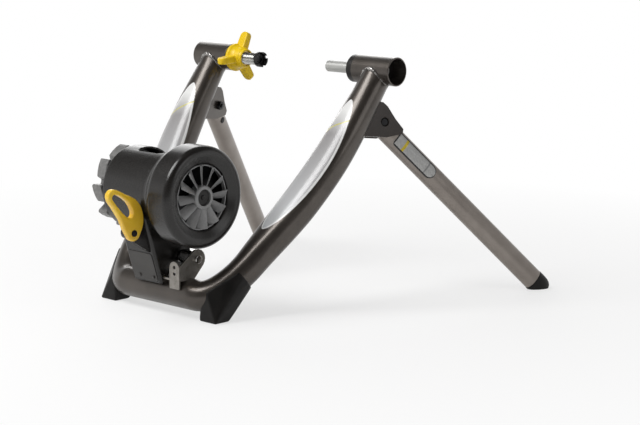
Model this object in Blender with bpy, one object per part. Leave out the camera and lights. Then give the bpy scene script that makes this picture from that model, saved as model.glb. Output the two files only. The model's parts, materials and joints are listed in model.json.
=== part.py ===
"""Folding fluid trainer for a bicycle: bent tube frame, axle clamps, hinged legs and a roller unit.

Units are metres, +Z is up, +Y is the way the bicycle faces and +X is the fan's side.
While the pieces are made, the axle line stands over y = 0; the finished trainer is then moved so
that the origin lies under the middle of its outline, on the floor.
"""
import bpy
import bmesh
import math
from mathutils import Matrix, Vector

# Driving sizes of the frame
AXLE_HEIGHT = 0.370            # clamp axis above the floor, for a wheel of about 0.68 m
CLAMP_GAP_HALF = 0.077         # middle plane to the tip of the rod and of the cup
CLAMP_TUBE_RADIUS = 0.0230
CLAMP_TUBE_WALL = 0.0020
CLAMP_TUBE_INNER_X = 0.1466
CLAMP_TUBE_OUTER_X = 0.2261
UPRIGHT_TOP_X = 0.1896
CROSS_TUBE_Y = -0.297
CROSS_TUBE_HEIGHT = 0.0350
CORNER_X = 0.1584              # where the lines of the cross tube and an upright would meet
BEND_RADIUS = 0.0885
FRAME_TUBE_RADIUS = 0.0225
FRAME_TUBE_WALL = 0.0018
OVAL_HALF_WIDTH = 0.0290       # the uprights are pressed oval at half height
OVAL_HALF_DEPTH = 0.0225
OVAL_POWER = 2.6
UPRIGHT_BOW = 0.0191           # the uprights sag forward between foot and clamp
WAIST_LOW = 0.0154             # and draw in above the feet
WAIST = 0.0227
GAP = 0.0003                   # between pieces that touch
RUN_GAP = 0.0010               # between pieces that move past each other

# Front feet under the two bends
FOOT_SOLE_X = 0.0360
FOOT_SOLE_Y = 0.0290
FOOT_CENTRE_X = 0.1183
FOOT_WALL = 0.0035
FOOT_TOP_OFFSET = 0.0650       # the foot ends where z is x less this
FOOT_TOP_SHARE = 0.79          # and square across the tube at this share of the bend

# Legs and their hinges
HINGE_RISE = 0.75522            # share of the way from the cross tube up to the clamps
HINGE = Vector((0.1969, -0.0110, CROSS_TUBE_HEIGHT + (AXLE_HEIGHT - CROSS_TUBE_HEIGHT) * HINGE_RISE))
LEG_FLOOR_POINT = Vector((0.3318, 0.2456, 0.0))
LEG_HALF_WIDTH = 0.0180
LEG_HALF_THICK = 0.0125
LEG_POWER = 2.8
LEG_WALL = 0.0016
LEG_FOLD_DEGREES = 80.0
LEG_SOLE_TRIM = 0.30           # how far the front of the sole is drawn in
PLATE_THICK = 0.0030
COVER_THICK = 0.0040
HINGE_BOLT_RADIUS = 0.0040
LEG_BUSH_RADIUS = 0.0065

# Axle clamps
ROD_RADIUS = 0.0092
ROD_TRAVEL = 0.0120
LEVER_REST_DEGREES = -101.0    # from +Y towards +Z, seen from the right
LEVER_TURN_DEGREES = 120.0
LEVER_X = 0.1570
LEVER_STEM_RADIUS = 0.0040
LEVER_LENGTH = 0.0780
SLEEVE_RADIUS = 0.0100
CUP_RADIUS = 0.0128
KNOB_PLATE_RADIUS = 0.0235
KNOB_WING_RADIUS = 0.0470
KNOB_X = -0.1380
KNOB_WING_DEGREES = (65.0, 185.0, 305.0)

# Roller unit
ROLLER_Y = -0.300
ROLLER_Z = 0.191
ROLLER_RADIUS = 0.01525
ROLLER_HALF = 0.0260
SHAFT_RADIUS = 0.0050
BARREL_RADIUS = 0.0660
BARREL_LEFT_X = -0.0640
BARREL_RIGHT_X = 0.0345
RING_RADIUS = 0.0795
RING_FRONT_X = 0.1060
SHELL_WALL = 0.0026
FAN_RADIUS = 0.0505
FAN_X = 0.1030
FAN_BLADES = 12
FLYWHEEL_RADIUS = BARREL_RADIUS - 0.0060
FLYWHEEL_LEFT_X = 0.0480
FLYWHEEL_RIGHT_X = 0.0780
WHEEL_CLEARANCE_RADIUS = 0.3430
TYRE_SLOT_HALF = 0.0310
SWING_Y = -0.283
SWING_Z = 0.088
SWING_PIN_RADIUS = 0.0040
DRUM_RADIUS = 0.0500
FIN_RADIUS = 0.0660
FIN_COUNT = 9
FIN_START_DEGREES = 93.0
DRUM_LEFT_X = -0.0870
IMPELLER_RADIUS = DRUM_RADIUS * 0.8
IMPELLER_LEFT_X = DRUM_LEFT_X + 0.0090
IMPELLER_RIGHT_X = DRUM_LEFT_X + 0.0390
VANE_THICK = 0.0024

# Yellow tension lever at the back of the unit
TENSION_X = 0.0338             # its right face
TENSION_THICK = 0.0105
TENSION_Y = -0.3817
TENSION_Z = 0.1377
TENSION_SCREW_RADIUS = 0.0025
CAM_RADIUS = 0.0058
CAM_OFFSET = 0.0018
LUG_LOW_X = 0.0130
LUG_RADIUS = 0.0100
PUSH_ROD_RADIUS = 0.0020
PUSH_POINT_Y = -0.3220         # where the push rod bears on the saddle
PUSH_POINT_Z = 0.0950
PUSH_TIP_GAP = 0.0007           # left for the saddle's tab to swing against the rod's tip

COLOURS = {
    "graphite_paint": ((0.17, 0.155, 0.14), 0.38, 0.85),
    "dark_plastic": ((0.022, 0.021, 0.020), 0.55, 0.0),
    "shell_plastic": ((0.028, 0.027, 0.026), 0.42, 0.0),
    "brown_cover": ((0.045, 0.038, 0.034), 0.50, 0.0),
    "rubber": ((0.018, 0.018, 0.018), 0.80, 0.0),
    "yellow_plastic": ((0.80, 0.52, 0.03), 0.35, 0.0),
    "zinc_plate": ((0.62, 0.62, 0.60), 0.28, 1.0),
    "satin_steel": ((0.55, 0.54, 0.52), 0.32, 1.0),
    "cast_grey": ((0.42, 0.41, 0.40), 0.55, 0.6),
    "fan_grey": ((0.12, 0.12, 0.12), 0.45, 0.0),
    "black_steel": ((0.03, 0.03, 0.03), 0.35, 0.8),
    "brass": ((0.60, 0.42, 0.16), 0.35, 1.0),
}


def clear_scene():
    for old in list(bpy.data.objects):
        bpy.data.objects.remove(old, do_unlink=True)


def material(name):
    found = bpy.data.materials.get(name)
    if found:
        return found
    colour, roughness, metallic = COLOURS[name]
    made = bpy.data.materials.new(name)
    made.use_nodes = True
    shader = made.node_tree.nodes["Principled BSDF"]
    shader.inputs["Base Color"].default_value = (*colour, 1.0)
    shader.inputs["Roughness"].default_value = roughness
    shader.inputs["Metallic"].default_value = metallic
    return made


def finish(name, bm, finish_name, parent=None, sharp_degrees=35.0):
    """Turn a bmesh made in world coordinates into a named object that hangs from parent."""
    bmesh.ops.remove_doubles(bm, verts=bm.verts, dist=1e-6)
    bmesh.ops.recalc_face_normals(bm, faces=bm.faces)
    mesh = bpy.data.meshes.new(name)
    bm.to_mesh(mesh)
    bm.free()
    piece = bpy.data.objects.new(name, mesh)
    bpy.context.scene.collection.objects.link(piece)
    mesh.materials.append(material(finish_name))
    mesh.shade_smooth()
    mesh.set_sharp_from_angle(angle=math.radians(sharp_degrees))
    hang(piece, parent)
    return piece


def hang(piece, parent):
    """Parent a piece whose mesh is in world coordinates, so that its origin is the parent's."""
    if parent is None:
        return
    place = world_of(parent)
    piece.data.transform(place.inverted())
    piece.parent = parent


def world_of(thing):
    place = Matrix.Translation(thing.location)
    while thing.parent:
        thing = thing.parent
        place = Matrix.Translation(thing.location) @ place
    return place


def pivot(name, place, parent):
    """An empty on a joint's axis; the empties are moved but never turned."""
    empty = bpy.data.objects.new(name, None)
    empty.empty_display_size = 0.02
    bpy.context.scene.collection.objects.link(empty)
    if parent:
        empty.parent = parent
        place = Vector(place) - world_of(parent).translation
    empty.location = place
    return empty


def evaluated_copy(piece):
    bpy.context.view_layer.update()
    graph = bpy.context.evaluated_depsgraph_get()
    return bpy.data.meshes.new_from_object(piece.evaluated_get(graph))


def combine(piece, tool, operation="DIFFERENCE", solver="EXACT"):
    """Cut, join or intersect piece with tool, keep the result as piece's mesh and drop the tool."""
    step = piece.modifiers.new("shape", "BOOLEAN")
    step.operation = operation
    step.solver = solver
    step.object = tool
    mesh = evaluated_copy(piece)
    piece.modifiers.remove(step)
    old = piece.data
    piece.data = mesh
    bpy.data.meshes.remove(old)
    drop(tool)
    weld(piece)
    return piece


def weld(piece):
    """Close the hairline edges that a cut can leave."""
    bm = bmesh.new()
    bm.from_mesh(piece.data)
    bmesh.ops.remove_doubles(bm, verts=bm.verts, dist=3e-6)
    bmesh.ops.dissolve_degenerate(bm, dist=2e-6, edges=bm.edges)
    bm.to_mesh(piece.data)
    bm.free()


def drop(piece):
    mesh = piece.data
    bpy.data.objects.remove(piece, do_unlink=True)
    if mesh.users == 0:
        bpy.data.meshes.remove(mesh)


def smooth_again(piece, sharp_degrees=35.0):
    piece.data.shade_smooth()
    piece.data.set_sharp_from_angle(angle=math.radians(sharp_degrees))
    return piece


def soft_edges(piece, width, segments=2, degrees=40.0):
    """Bevel the sharp edges and keep the result in the mesh."""
    step = piece.modifiers.new("edges", "BEVEL")
    step.width = width
    step.segments = segments
    step.limit_method = "ANGLE"
    step.angle_limit = math.radians(degrees)
    mesh = evaluated_copy(piece)
    piece.modifiers.remove(step)
    old = piece.data
    piece.data = mesh
    bpy.data.meshes.remove(old)
    return smooth_again(piece)


def frame_from_axis(origin, axis, side):
    """Matrix whose local Z is axis and whose local X is as near as can be to side."""
    z = Vector(axis).normalized()
    x = (Vector(side) - z * Vector(side).dot(z)).normalized()
    y = z.cross(x)
    place = Matrix((x, y, z)).transposed().to_4x4()
    place.translation = Vector(origin)
    return place


X_AXIS_FRAME = Matrix(((0, 0, 1, 0), (1, 0, 0, 0), (0, 1, 0, 0), (0, 0, 0, 1)))


def along_x(y, z):
    """Local Z runs along world X, local X along world Y and local Y along world Z."""
    return Matrix.Translation((0.0, y, z)) @ X_AXIS_FRAME


def turned(profile, place, steps=32):
    """Body turned round local Z from (z, radius) points; open ends close on the axis."""
    bm = bmesh.new()
    points = [bm.verts.new((radius, 0.0, along)) for along, radius in profile]
    edges = [bm.edges.new(pair) for pair in zip(points[:-1], points[1:])]
    closed = profile[0][1] > 1e-7
    if closed:
        edges.append(bm.edges.new((points[-1], points[0])))
    bmesh.ops.spin(bm, geom=points + edges, cent=(0, 0, 0), axis=(0, 0, 1), angle=2 * math.pi,
                   steps=steps, use_merge=True, use_duplicate=False)
    bmesh.ops.remove_doubles(bm, verts=bm.verts, dist=1e-6)
    bmesh.ops.transform(bm, matrix=place, verts=bm.verts)
    return bm


def rod_shape(place, start, end, radius, chamfer=0.0, steps=24):
    if chamfer:
        profile = [(start, 0), (start, radius - chamfer), (start + chamfer, radius),
                   (end - chamfer, radius), (end, radius - chamfer), (end, 0)]
    else:
        profile = [(start, 0), (start, radius), (end, radius), (end, 0)]
    return turned(profile, place, steps)


def pipe_shape(place, start, end, outer, inner, steps=32):
    profile = [(start, inner), (start, outer), (end, outer), (end, inner)]
    return turned(profile, place, steps)


def prism(outline, low, high, place):
    """Outline in local XY, extruded along local Z from low to high."""
    bm = bmesh.new()
    base = [bm.verts.new((x, y, low)) for x, y in outline]
    face = bm.faces.new(base)
    grown = bmesh.ops.extrude_face_region(bm, geom=[face])
    tops = [part for part in grown["geom"] if isinstance(part, bmesh.types.BMVert)]
    bmesh.ops.translate(bm, verts=tops, vec=(0, 0, high - low))
    bmesh.ops.transform(bm, matrix=place, verts=bm.verts)
    return bm


def box_shape(low, high):
    bm = bmesh.new()
    bmesh.ops.create_cube(bm, size=1.0)
    size = Vector(high) - Vector(low)
    middle = (Vector(high) + Vector(low)) / 2
    bmesh.ops.transform(bm, matrix=Matrix.Translation(middle) @ Matrix.Diagonal((*size, 1.0)), verts=bm.verts)
    return bm


def lofted(rings):
    """Closed rings of equal count, skinned in order and capped at both ends."""
    bm = bmesh.new()
    made = [[bm.verts.new(point) for point in ring] for ring in rings]
    count = len(rings[0])
    for lower, upper in zip(made[:-1], made[1:]):
        for i in range(count):
            j = (i + 1) % count
            bm.faces.new((lower[i], lower[j], upper[j], upper[i]))
    bm.faces.new(list(reversed(made[0])))
    bm.faces.new(made[-1])
    return bm


def hull_shape(points):
    bm = bmesh.new()
    for point in points:
        bm.verts.new(point)
    result = bmesh.ops.convex_hull(bm, input=bm.verts)
    loose = [item for item in result["geom_interior"] if isinstance(item, bmesh.types.BMVert)]
    bmesh.ops.delete(bm, geom=loose, context="VERTS")
    bmesh.ops.dissolve_limit(bm, angle_limit=math.radians(1.0), verts=bm.verts, edges=bm.edges)
    return bm


def arc_points(cx, cy, radius, start, end, count):
    """Points on an arc, angles in degrees."""
    return [(cx + radius * math.cos(math.radians(start + (end - start) * i / (count - 1))),
             cy + radius * math.sin(math.radians(start + (end - start) * i / (count - 1))))
            for i in range(count)]


def rounded_through(points, per_span, closed=True):
    """Smooth curve through the given points, with per_span steps from each to the next."""
    count = len(points)
    result = []
    for i in range(count if closed else count - 1):
        if closed:
            before, start, end, after = (points[(i + k) % count] for k in (-1, 0, 1, 2))
        else:
            before, start, end, after = (points[min(max(i + k, 0), count - 1)] for k in (-1, 0, 1, 2))
        for step in range(per_span):
            t = step / per_span
            result.append(tuple(0.5 * (2 * b + (c - a) * t + (2 * a - 5 * b + 4 * c - d) * t ** 2
                                       + (3 * b - a - 3 * c + d) * t ** 3)
                                for a, b, c, d in zip(before, start, end, after)))
    if not closed:
        result.append(tuple(points[-1]))
    return result


def rounded_box_outline(x0, x1, y0, y1, radius, corner_points=4):
    corners = ((x1 - radius, y1 - radius, 0), (x0 + radius, y1 - radius, 90),
               (x0 + radius, y0 + radius, 180), (x1 - radius, y0 + radius, 270))
    return [point for cx, cy, start in corners
            for point in arc_points(cx, cy, radius, start, start + 90, corner_points)]


def smoothstep(value, start, end):
    t = min(max((value - start) / (end - start), 0.0), 1.0)
    return t * t * (3 - 2 * t)


def superellipse(half_a, half_b, power, count):
    points = []
    for i in range(count):
        angle = 2 * math.pi * i / count
        c, s = math.cos(angle), math.sin(angle)
        points.append((math.copysign(abs(c) ** (2 / power), c) * half_a,
                       math.copysign(abs(s) ** (2 / power), s) * half_b))
    return points


def mirrored(point, side):
    return Vector((point[0] * side, point[1], point[2]))


# Frame tube: one tube bent into a U that leans forward
SLOPE = Vector((0.0, -CROSS_TUBE_Y, AXLE_HEIGHT - CROSS_TUBE_HEIGHT))
SLOPE_LENGTH = SLOPE.length
SLOPE_DIR = SLOPE.normalized()
FRAME_NORMAL = Vector((0.0, -SLOPE_DIR.z, SLOPE_DIR.y))      # towards the rear and up
CORNER = Vector((CORNER_X, CROSS_TUBE_Y, CROSS_TUBE_HEIGHT))
UPRIGHT_TOP = Vector((UPRIGHT_TOP_X, 0.0, AXLE_HEIGHT))
UPRIGHT_DIR = (UPRIGHT_TOP - CORNER).normalized()
BEND_TURN = math.acos(UPRIGHT_DIR.x)
BEND_TANGENT = BEND_RADIUS * math.tan(BEND_TURN / 2)


def frame_centre(part, amount):
    """Point on the right half of the tube's centre line; part is cross, bend or upright."""
    if part == "cross":
        return Vector(((CORNER_X - BEND_TANGENT) * amount, CROSS_TUBE_Y, CROSS_TUBE_HEIGHT))
    if part == "bend":
        angle = BEND_TURN * amount
        middle = CORNER - Vector((BEND_TANGENT, 0, 0)) + SLOPE_DIR * BEND_RADIUS
        centre = middle + (Vector((1, 0, 0)) * math.sin(angle) - SLOPE_DIR * math.cos(angle)) * BEND_RADIUS
    else:
        start = CORNER + UPRIGHT_DIR * BEND_TANGENT
        centre = start.lerp(UPRIGHT_TOP, amount)
    share = min(max(slope_share(centre), 0.0), 1.0) ** 0.6
    centre -= FRAME_NORMAL * UPRIGHT_BOW * math.sin(math.pi * share)
    centre.x -= WAIST * math.sin(math.pi * share) + WAIST_LOW * math.sin(2 * math.pi * share)
    return centre


def slope_share(point):
    """How far up the slope of the frame a point lies, 0 at the cross tube and 1 at the clamps."""
    return (point - Vector((0, CROSS_TUBE_Y, CROSS_TUBE_HEIGHT))).dot(SLOPE_DIR) / SLOPE_LENGTH


def frame_station(side, part, amount):
    """Centre, tangent and oval share of a point on the tube."""
    centre = frame_centre(part, amount)
    tangent = (frame_centre(part, amount + 0.01) - frame_centre(part, max(amount - 0.01, 0.0))).normalized()
    share = slope_share(centre)
    oval = smoothstep(share, 0.11, 0.45) * (1 - smoothstep(share, 0.58, 1.0))
    return mirrored(centre, side), mirrored(tangent, side), oval


def frame_ring(side, part, amount, grow, count):
    """Section of the frame tube, grown by a distance all round."""
    centre, tangent, oval = frame_station(side, part, amount)
    wide = FRAME_NORMAL.cross(tangent).normalized() * side
    half_w = FRAME_TUBE_RADIUS + (OVAL_HALF_WIDTH - FRAME_TUBE_RADIUS) * oval + grow
    half_d = FRAME_TUBE_RADIUS + (OVAL_HALF_DEPTH - FRAME_TUBE_RADIUS) * oval + grow
    power = 2.0 + (OVAL_POWER - 2.0) * oval
    return [centre + wide * w + FRAME_NORMAL * d for w, d in superellipse(half_w, half_d, power, count)]


def frame_sweep(grow, count, cross_steps, bend_steps, upright_steps, overrun):
    """The whole U from the left top to the right top, as one skin."""
    rings = []
    for side in (-1, 1):
        run = [("cross", i / cross_steps) for i in range(0 if side > 0 else 1, cross_steps)]
        run += [("bend", i / bend_steps) for i in range(bend_steps)]
        run += [("upright", i / upright_steps) for i in range(upright_steps + 1)]
        half = [frame_ring(side, part, amount, grow, count) for part, amount in run]
        last = [point + mirrored(UPRIGHT_DIR, side) * overrun for point in half[-1]]
        half[-1] = last
        if side < 0:
            half.reverse()
        rings += half
    return lofted(rings)


def make_frame_tube(parent):
    tube = finish("frame_tube", frame_sweep(0.0, 20, 1, 6, 8, 0.012), "graphite_paint")
    bore = finish("bore", frame_sweep(-FRAME_TUBE_WALL, 10, 1, 6, 4, 0.016), "graphite_paint")
    combine(tube, bore)
    for side in (-1, 1):
        middle = side * UPRIGHT_TOP_X
        seat = rod_shape(along_x(0, AXLE_HEIGHT), middle - 0.05, middle + 0.05, CLAMP_TUBE_RADIUS + GAP,
                         steps=48)
        combine(tube, finish("seat", seat, "graphite_paint"))
    for x in SADDLE_BOLTS_X:
        hole = rod_shape(Matrix.Translation((x, SADDLE_BOLT_Y, 0)), CROSS_TUBE_HEIGHT,
                         CROSS_TUBE_HEIGHT + 0.03, SADDLE_BOLT_RADIUS + GAP, steps=12)
        combine(tube, finish("hole", hole, "graphite_paint"))
    keep_largest(tube)
    hang(tube, parent)
    return smooth_again(tube)


def make_clamp_tube(side, parent):
    name = "clamp_tube_right" if side > 0 else "clamp_tube_left"
    low, high = sorted((side * CLAMP_TUBE_INNER_X, side * CLAMP_TUBE_OUTER_X))
    inner = CLAMP_TUBE_RADIUS - CLAMP_TUBE_WALL
    lip = 0.0006
    profile = [(low, inner), (low, CLAMP_TUBE_RADIUS - lip), (low + lip, CLAMP_TUBE_RADIUS),
               (high - lip, CLAMP_TUBE_RADIUS), (high, CLAMP_TUBE_RADIUS - lip), (high, inner)]
    tube = finish(name, turned(profile, along_x(0, AXLE_HEIGHT), 36), "graphite_paint")
    if side > 0:
        combine(tube, finish("slot", cam_slot(), "graphite_paint"))
    hang(tube, parent)
    return smooth_again(tube)


def cam_slot():
    """Helical slot that turns the lever's swing into the rod's slide."""
    half = LEVER_STEM_RADIUS + 0.0007
    inner, outer = CLAMP_TUBE_RADIUS - 0.006, CLAMP_TUBE_RADIUS + 0.006
    lead = ROD_TRAVEL / math.radians(LEVER_TURN_DEGREES)
    end_turn = math.degrees(half / CLAMP_TUBE_RADIUS)
    pitch = math.atan2(lead, CLAMP_TUBE_RADIUS)
    rings = []
    steps = 14
    for i in range(steps + 1):
        turn = -end_turn + (LEVER_TURN_DEGREES + 2 * end_turn) * i / steps
        angle = math.radians(LEVER_REST_DEGREES + turn)
        x = LEVER_X + lead * math.radians(turn)
        ring = []
        for radius, across in ((inner, -half), (outer, -half), (outer, half), (inner, half)):
            shift = angle - across * math.sin(pitch) / CLAMP_TUBE_RADIUS
            ring.append((x + across * math.cos(pitch), radius * math.cos(shift),
                         AXLE_HEIGHT + radius * math.sin(shift)))
        rings.append(ring)
    return lofted(rings)


# Front feet: rubber hooves under the bends
def make_foot(side, parent):
    name = "base_foot_right" if side > 0 else "base_foot_left"
    points = []
    for x in (-FOOT_SOLE_X / 2, FOOT_SOLE_X / 2):
        for y in (-FOOT_SOLE_Y / 2, FOOT_SOLE_Y / 2):
            points.append((side * (FOOT_CENTRE_X + x), CROSS_TUBE_Y + y, 0.0))
    for part, amount in (("bend", 0.35), ("bend", 0.6), ("bend", 0.8)):
        points += frame_ring(side, part, amount, FOOT_WALL, 16)
    foot = finish(name, hull_shape(points), "rubber")
    slope = [(FOOT_TOP_OFFSET - 0.05, -0.05), (0.25, -0.05), (0.25, 0.25 - FOOT_TOP_OFFSET)]
    place = Matrix(((side, 0, 0, 0), (0, 0, -1, 0), (0, 1, 0, 0), (0, 0, 0, 1)))
    keep = finish("keep", prism(slope, 0.15, 0.40, place), "rubber")
    combine(foot, keep, "INTERSECT")
    centre, tangent, oval = frame_station(side, "bend", FOOT_TOP_SHARE)
    above = box_shape((-0.08, -0.08, 0.0), (0.08, 0.08, 0.10))
    bmesh.ops.transform(above, matrix=frame_from_axis(centre, tangent, FRAME_NORMAL), verts=above.verts)
    combine(foot, finish("above", above, "rubber"))
    skin = finish("skin", frame_sweep(GAP, 20, 1, 6, 8, 0.012), "rubber")
    combine(foot, skin)
    keep_largest(foot)
    hang(foot, parent)
    return smooth_again(foot, 30)


def keep_largest(piece):
    """Drop slivers that a cut left apart from the main body."""
    bm = bmesh.new()
    bm.from_mesh(piece.data)
    left = set(bm.verts)
    groups = []
    while left:
        seed = left.pop()
        group, stack = {seed}, [seed]
        while stack:
            vert = stack.pop()
            for edge in vert.link_edges:
                other = edge.other_vert(vert)
                if other in left:
                    left.discard(other)
                    group.add(other)
                    stack.append(other)
        groups.append(group)
    groups.sort(key=len)
    for group in groups[:-1]:
        bmesh.ops.delete(bm, geom=list(group), context="VERTS")
    bm.to_mesh(piece.data)
    bm.free()


# Hinges: the leg lies between two cheek plates and folds back beside the upright
LEG_DIR = (LEG_FLOOR_POINT - HINGE).normalized()
LEG_LENGTH = (LEG_FLOOR_POINT - HINGE).length
HINGE_NORMAL = LEG_DIR.cross(-UPRIGHT_DIR).normalized()
if HINGE_NORMAL.x < 0:
    HINGE_NORMAL = -HINGE_NORMAL
HINGE_FORWARD = Vector((-HINGE_NORMAL.y, HINGE_NORMAL.x, 0)).normalized()
LEG_OPEN_DEGREES = math.degrees(math.atan2(LEG_DIR.dot(HINGE_NORMAL.cross(HINGE_FORWARD)),
                                           LEG_DIR.dot(HINGE_FORWARD)))
CHEEK_INNER = LEG_HALF_THICK + 0.0015
CHEEK_OUTER = CHEEK_INNER + PLATE_THICK
CHEEK_OUTLINE = ((-0.0110, 0.0335), (0.0000, 0.0315), (0.0080, 0.0240), (0.0205, 0.0030), (0.0330, -0.0135),
                 (0.0310, -0.0210), (0.0020, -0.0245), (-0.0400, -0.0200), (-0.0520, -0.0150), (-0.0340,
                                                                                                0.0200))


def hinge_frame(side):
    """Local Z along the hinge bolt, local X forward in the plane of the cheeks, local Y up."""
    place = frame_from_axis(HINGE, HINGE_NORMAL, HINGE_FORWARD)
    if side > 0:
        return place
    return Matrix.Diagonal((-1, 1, 1, 1)) @ place


def leg_space(radius):
    """Room that the leg sweeps through between the cheeks, as an outline round the bolt."""
    far = 0.075
    points = []
    for angle in (LEG_OPEN_DEGREES, LEG_OPEN_DEGREES - LEG_FOLD_DEGREES):
        cx, cy = far * math.cos(math.radians(angle)), far * math.sin(math.radians(angle))
        points += arc_points(cx, cy, radius, angle - 90, angle + 90, 5)
    points += arc_points(0, 0, radius, LEG_OPEN_DEGREES + 80, LEG_OPEN_DEGREES + 200, 11)
    return points


def make_hinge(side, parent):
    tag = "right" if side > 0 else "left"
    place = hinge_frame(side)
    bracket = finish("hinge_bracket_" + tag, prism(CHEEK_OUTLINE, -CHEEK_OUTER, CHEEK_OUTER, place),
                     "graphite_paint")
    low = [place @ Vector((x, y, -CHEEK_INNER)) for x, y in leg_space(LEG_HALF_WIDTH + RUN_GAP)]
    high = [place @ Vector((x, y, CHEEK_INNER)) for x, y in leg_space(LEG_HALF_WIDTH + RUN_GAP)]
    combine(bracket, finish("space", hull_shape(low + high), "graphite_paint"))
    combine(bracket, finish("skin", frame_sweep(GAP, 20, 1, 6, 8, 0.012), "graphite_paint"))
    bolt_hole = HINGE_BOLT_RADIUS + GAP
    combine(bracket, finish("hole", rod_shape(place, -0.03, 0.03, bolt_hole, steps=14), "graphite_paint"))
    keep_largest(bracket)
    hang(bracket, parent)
    smooth_again(bracket)

    cover_low, cover_high = CHEEK_OUTER + GAP, CHEEK_OUTER + GAP + COVER_THICK
    cover = finish("hinge_cover_" + tag, prism(CHEEK_OUTLINE, cover_low, cover_high, place), "brown_cover")
    combine(cover, finish("skin", frame_sweep(GAP, 20, 1, 6, 8, 0.012), "brown_cover"))
    combine(cover, finish("hole", rod_shape(place, 0, 0.04, 0.0070, steps=16), "brown_cover"))
    keep_largest(cover)
    hang(cover, parent)
    soft_edges(cover, 0.0012, 1)

    profile = [(-CHEEK_OUTER - 0.0085, 0), (-CHEEK_OUTER - 0.0085, 0.0030),
               (-CHEEK_OUTER - 0.0060, HINGE_BOLT_RADIUS),
               (cover_low, HINGE_BOLT_RADIUS), (cover_low, 0.0064), (cover_low + 0.0024, 0.0064),
               (cover_low + 0.0034, 0.0052), (cover_low + 0.0034, 0)]
    finish("hinge_bolt_" + tag, turned(profile, place, 14), "black_steel", parent)
    nut = [(0.0078 * math.cos(math.radians(60 * i)),
            0.0078 * math.sin(math.radians(60 * i))) for i in range(6)]
    nut_piece = finish("hinge_nut_" + tag, prism(nut, -CHEEK_OUTER - GAP - 0.0058, -CHEEK_OUTER - GAP,
                                                 place), "black_steel")
    combine(nut_piece, finish("hole", rod_shape(place, -0.04, 0, HINGE_BOLT_RADIUS + GAP, steps=14),
                              "black_steel"))
    hang(nut_piece, parent)
    smooth_again(nut_piece)


def make_leg(side, parent):
    tag = "right" if side > 0 else "left"
    place = hinge_frame(side)
    direction = Vector((math.cos(math.radians(LEG_OPEN_DEGREES)), math.sin(math.radians(LEG_OPEN_DEGREES)),
                        0))
    leg_dir = (place.to_3x3() @ direction).normalized()
    bolt_dir = (place.to_3x3() @ Vector((0, 0, 1))).normalized()
    across = bolt_dir.cross(leg_dir).normalized()
    centre = mirrored(HINGE, side)
    floor_at = -centre.z / leg_dir.z
    tube_end = floor_at - (LEG_HALF_WIDTH * abs(across.z) + 0.0030) / abs(leg_dir.z)

    def ring(distance, grow, count, narrow=1.0):
        return [centre + leg_dir * distance + across * a * narrow + bolt_dir * b
                for a, b in superellipse(LEG_HALF_WIDTH + grow, LEG_HALF_THICK + grow, LEG_POWER, count)]

    round_steps = 5
    rings = []
    for i in range(round_steps + 1):
        angle = math.radians(8 + 82 * i / round_steps)
        rings.append(ring(-LEG_HALF_WIDTH * math.cos(angle), 0.0, 24, math.sin(angle)))
    rings.append(ring(tube_end, 0.0, 24))
    leg = finish("leg_" + tag, lofted(rings), "graphite_paint")
    combine(leg, finish("bore", lofted([ring(0.020, -LEG_WALL, 16), ring(tube_end + 0.02, -LEG_WALL, 16)]),
                        "graphite_paint"))
    combine(leg, finish("hole", rod_shape(place, -0.03, 0.03, LEG_BUSH_RADIUS + GAP, steps=16),
                        "graphite_paint"))
    bumper_at = centre + leg_dir * 0.044
    bumper_place = frame_from_axis(bumper_at, -bolt_dir if side > 0 else -bolt_dir, leg_dir)
    combine(leg, finish("hole", rod_shape(bumper_place, 0.004, 0.03, 0.0040 + GAP, steps=16),
                        "graphite_paint"))
    hang(leg, parent)
    smooth_again(leg)

    finish("leg_bush_" + tag, pipe_shape(place, -CHEEK_INNER + GAP, CHEEK_INNER - GAP, LEG_BUSH_RADIUS,
                                         HINGE_BOLT_RADIUS + GAP, 16), "brass", parent)
    head = [(0.0088, 0), (0.0088, 0.0040), (LEG_HALF_THICK + GAP, 0.0040), (LEG_HALF_THICK + GAP, 0.0058),
            (LEG_HALF_THICK + 0.0009, 0.0054), (LEG_HALF_THICK + 0.0012, 0.0030), (LEG_HALF_THICK + 0.0012,
                                                                                   0)]
    finish("leg_bumper_" + tag, turned(head, bumper_place, 16), "rubber", parent)

    sole = []
    for point in ring(floor_at, 0.0008, 24):
        flat = point - leg_dir * (point.z / leg_dir.z)
        reach = (flat - centre - leg_dir * floor_at).dot(Vector((leg_dir.x, leg_dir.y, 0)).normalized())
        sole.append(flat - Vector((leg_dir.x, leg_dir.y, 0)).normalized() * max(reach + 0.012,
                                                                                0.0) * LEG_SOLE_TRIM)
    cap = finish("leg_foot_" + tag, hull_shape(ring(tube_end + GAP, 0.0008, 24) + sole), "rubber")
    plug_rings = [ring(tube_end - 0.022, -LEG_WALL - GAP, 16), ring(tube_end + 0.004, -LEG_WALL - GAP, 16)]
    combine(cap, finish("plug", lofted(plug_rings), "rubber"), "UNION")
    hang(cap, parent)
    smooth_again(cap)


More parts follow.
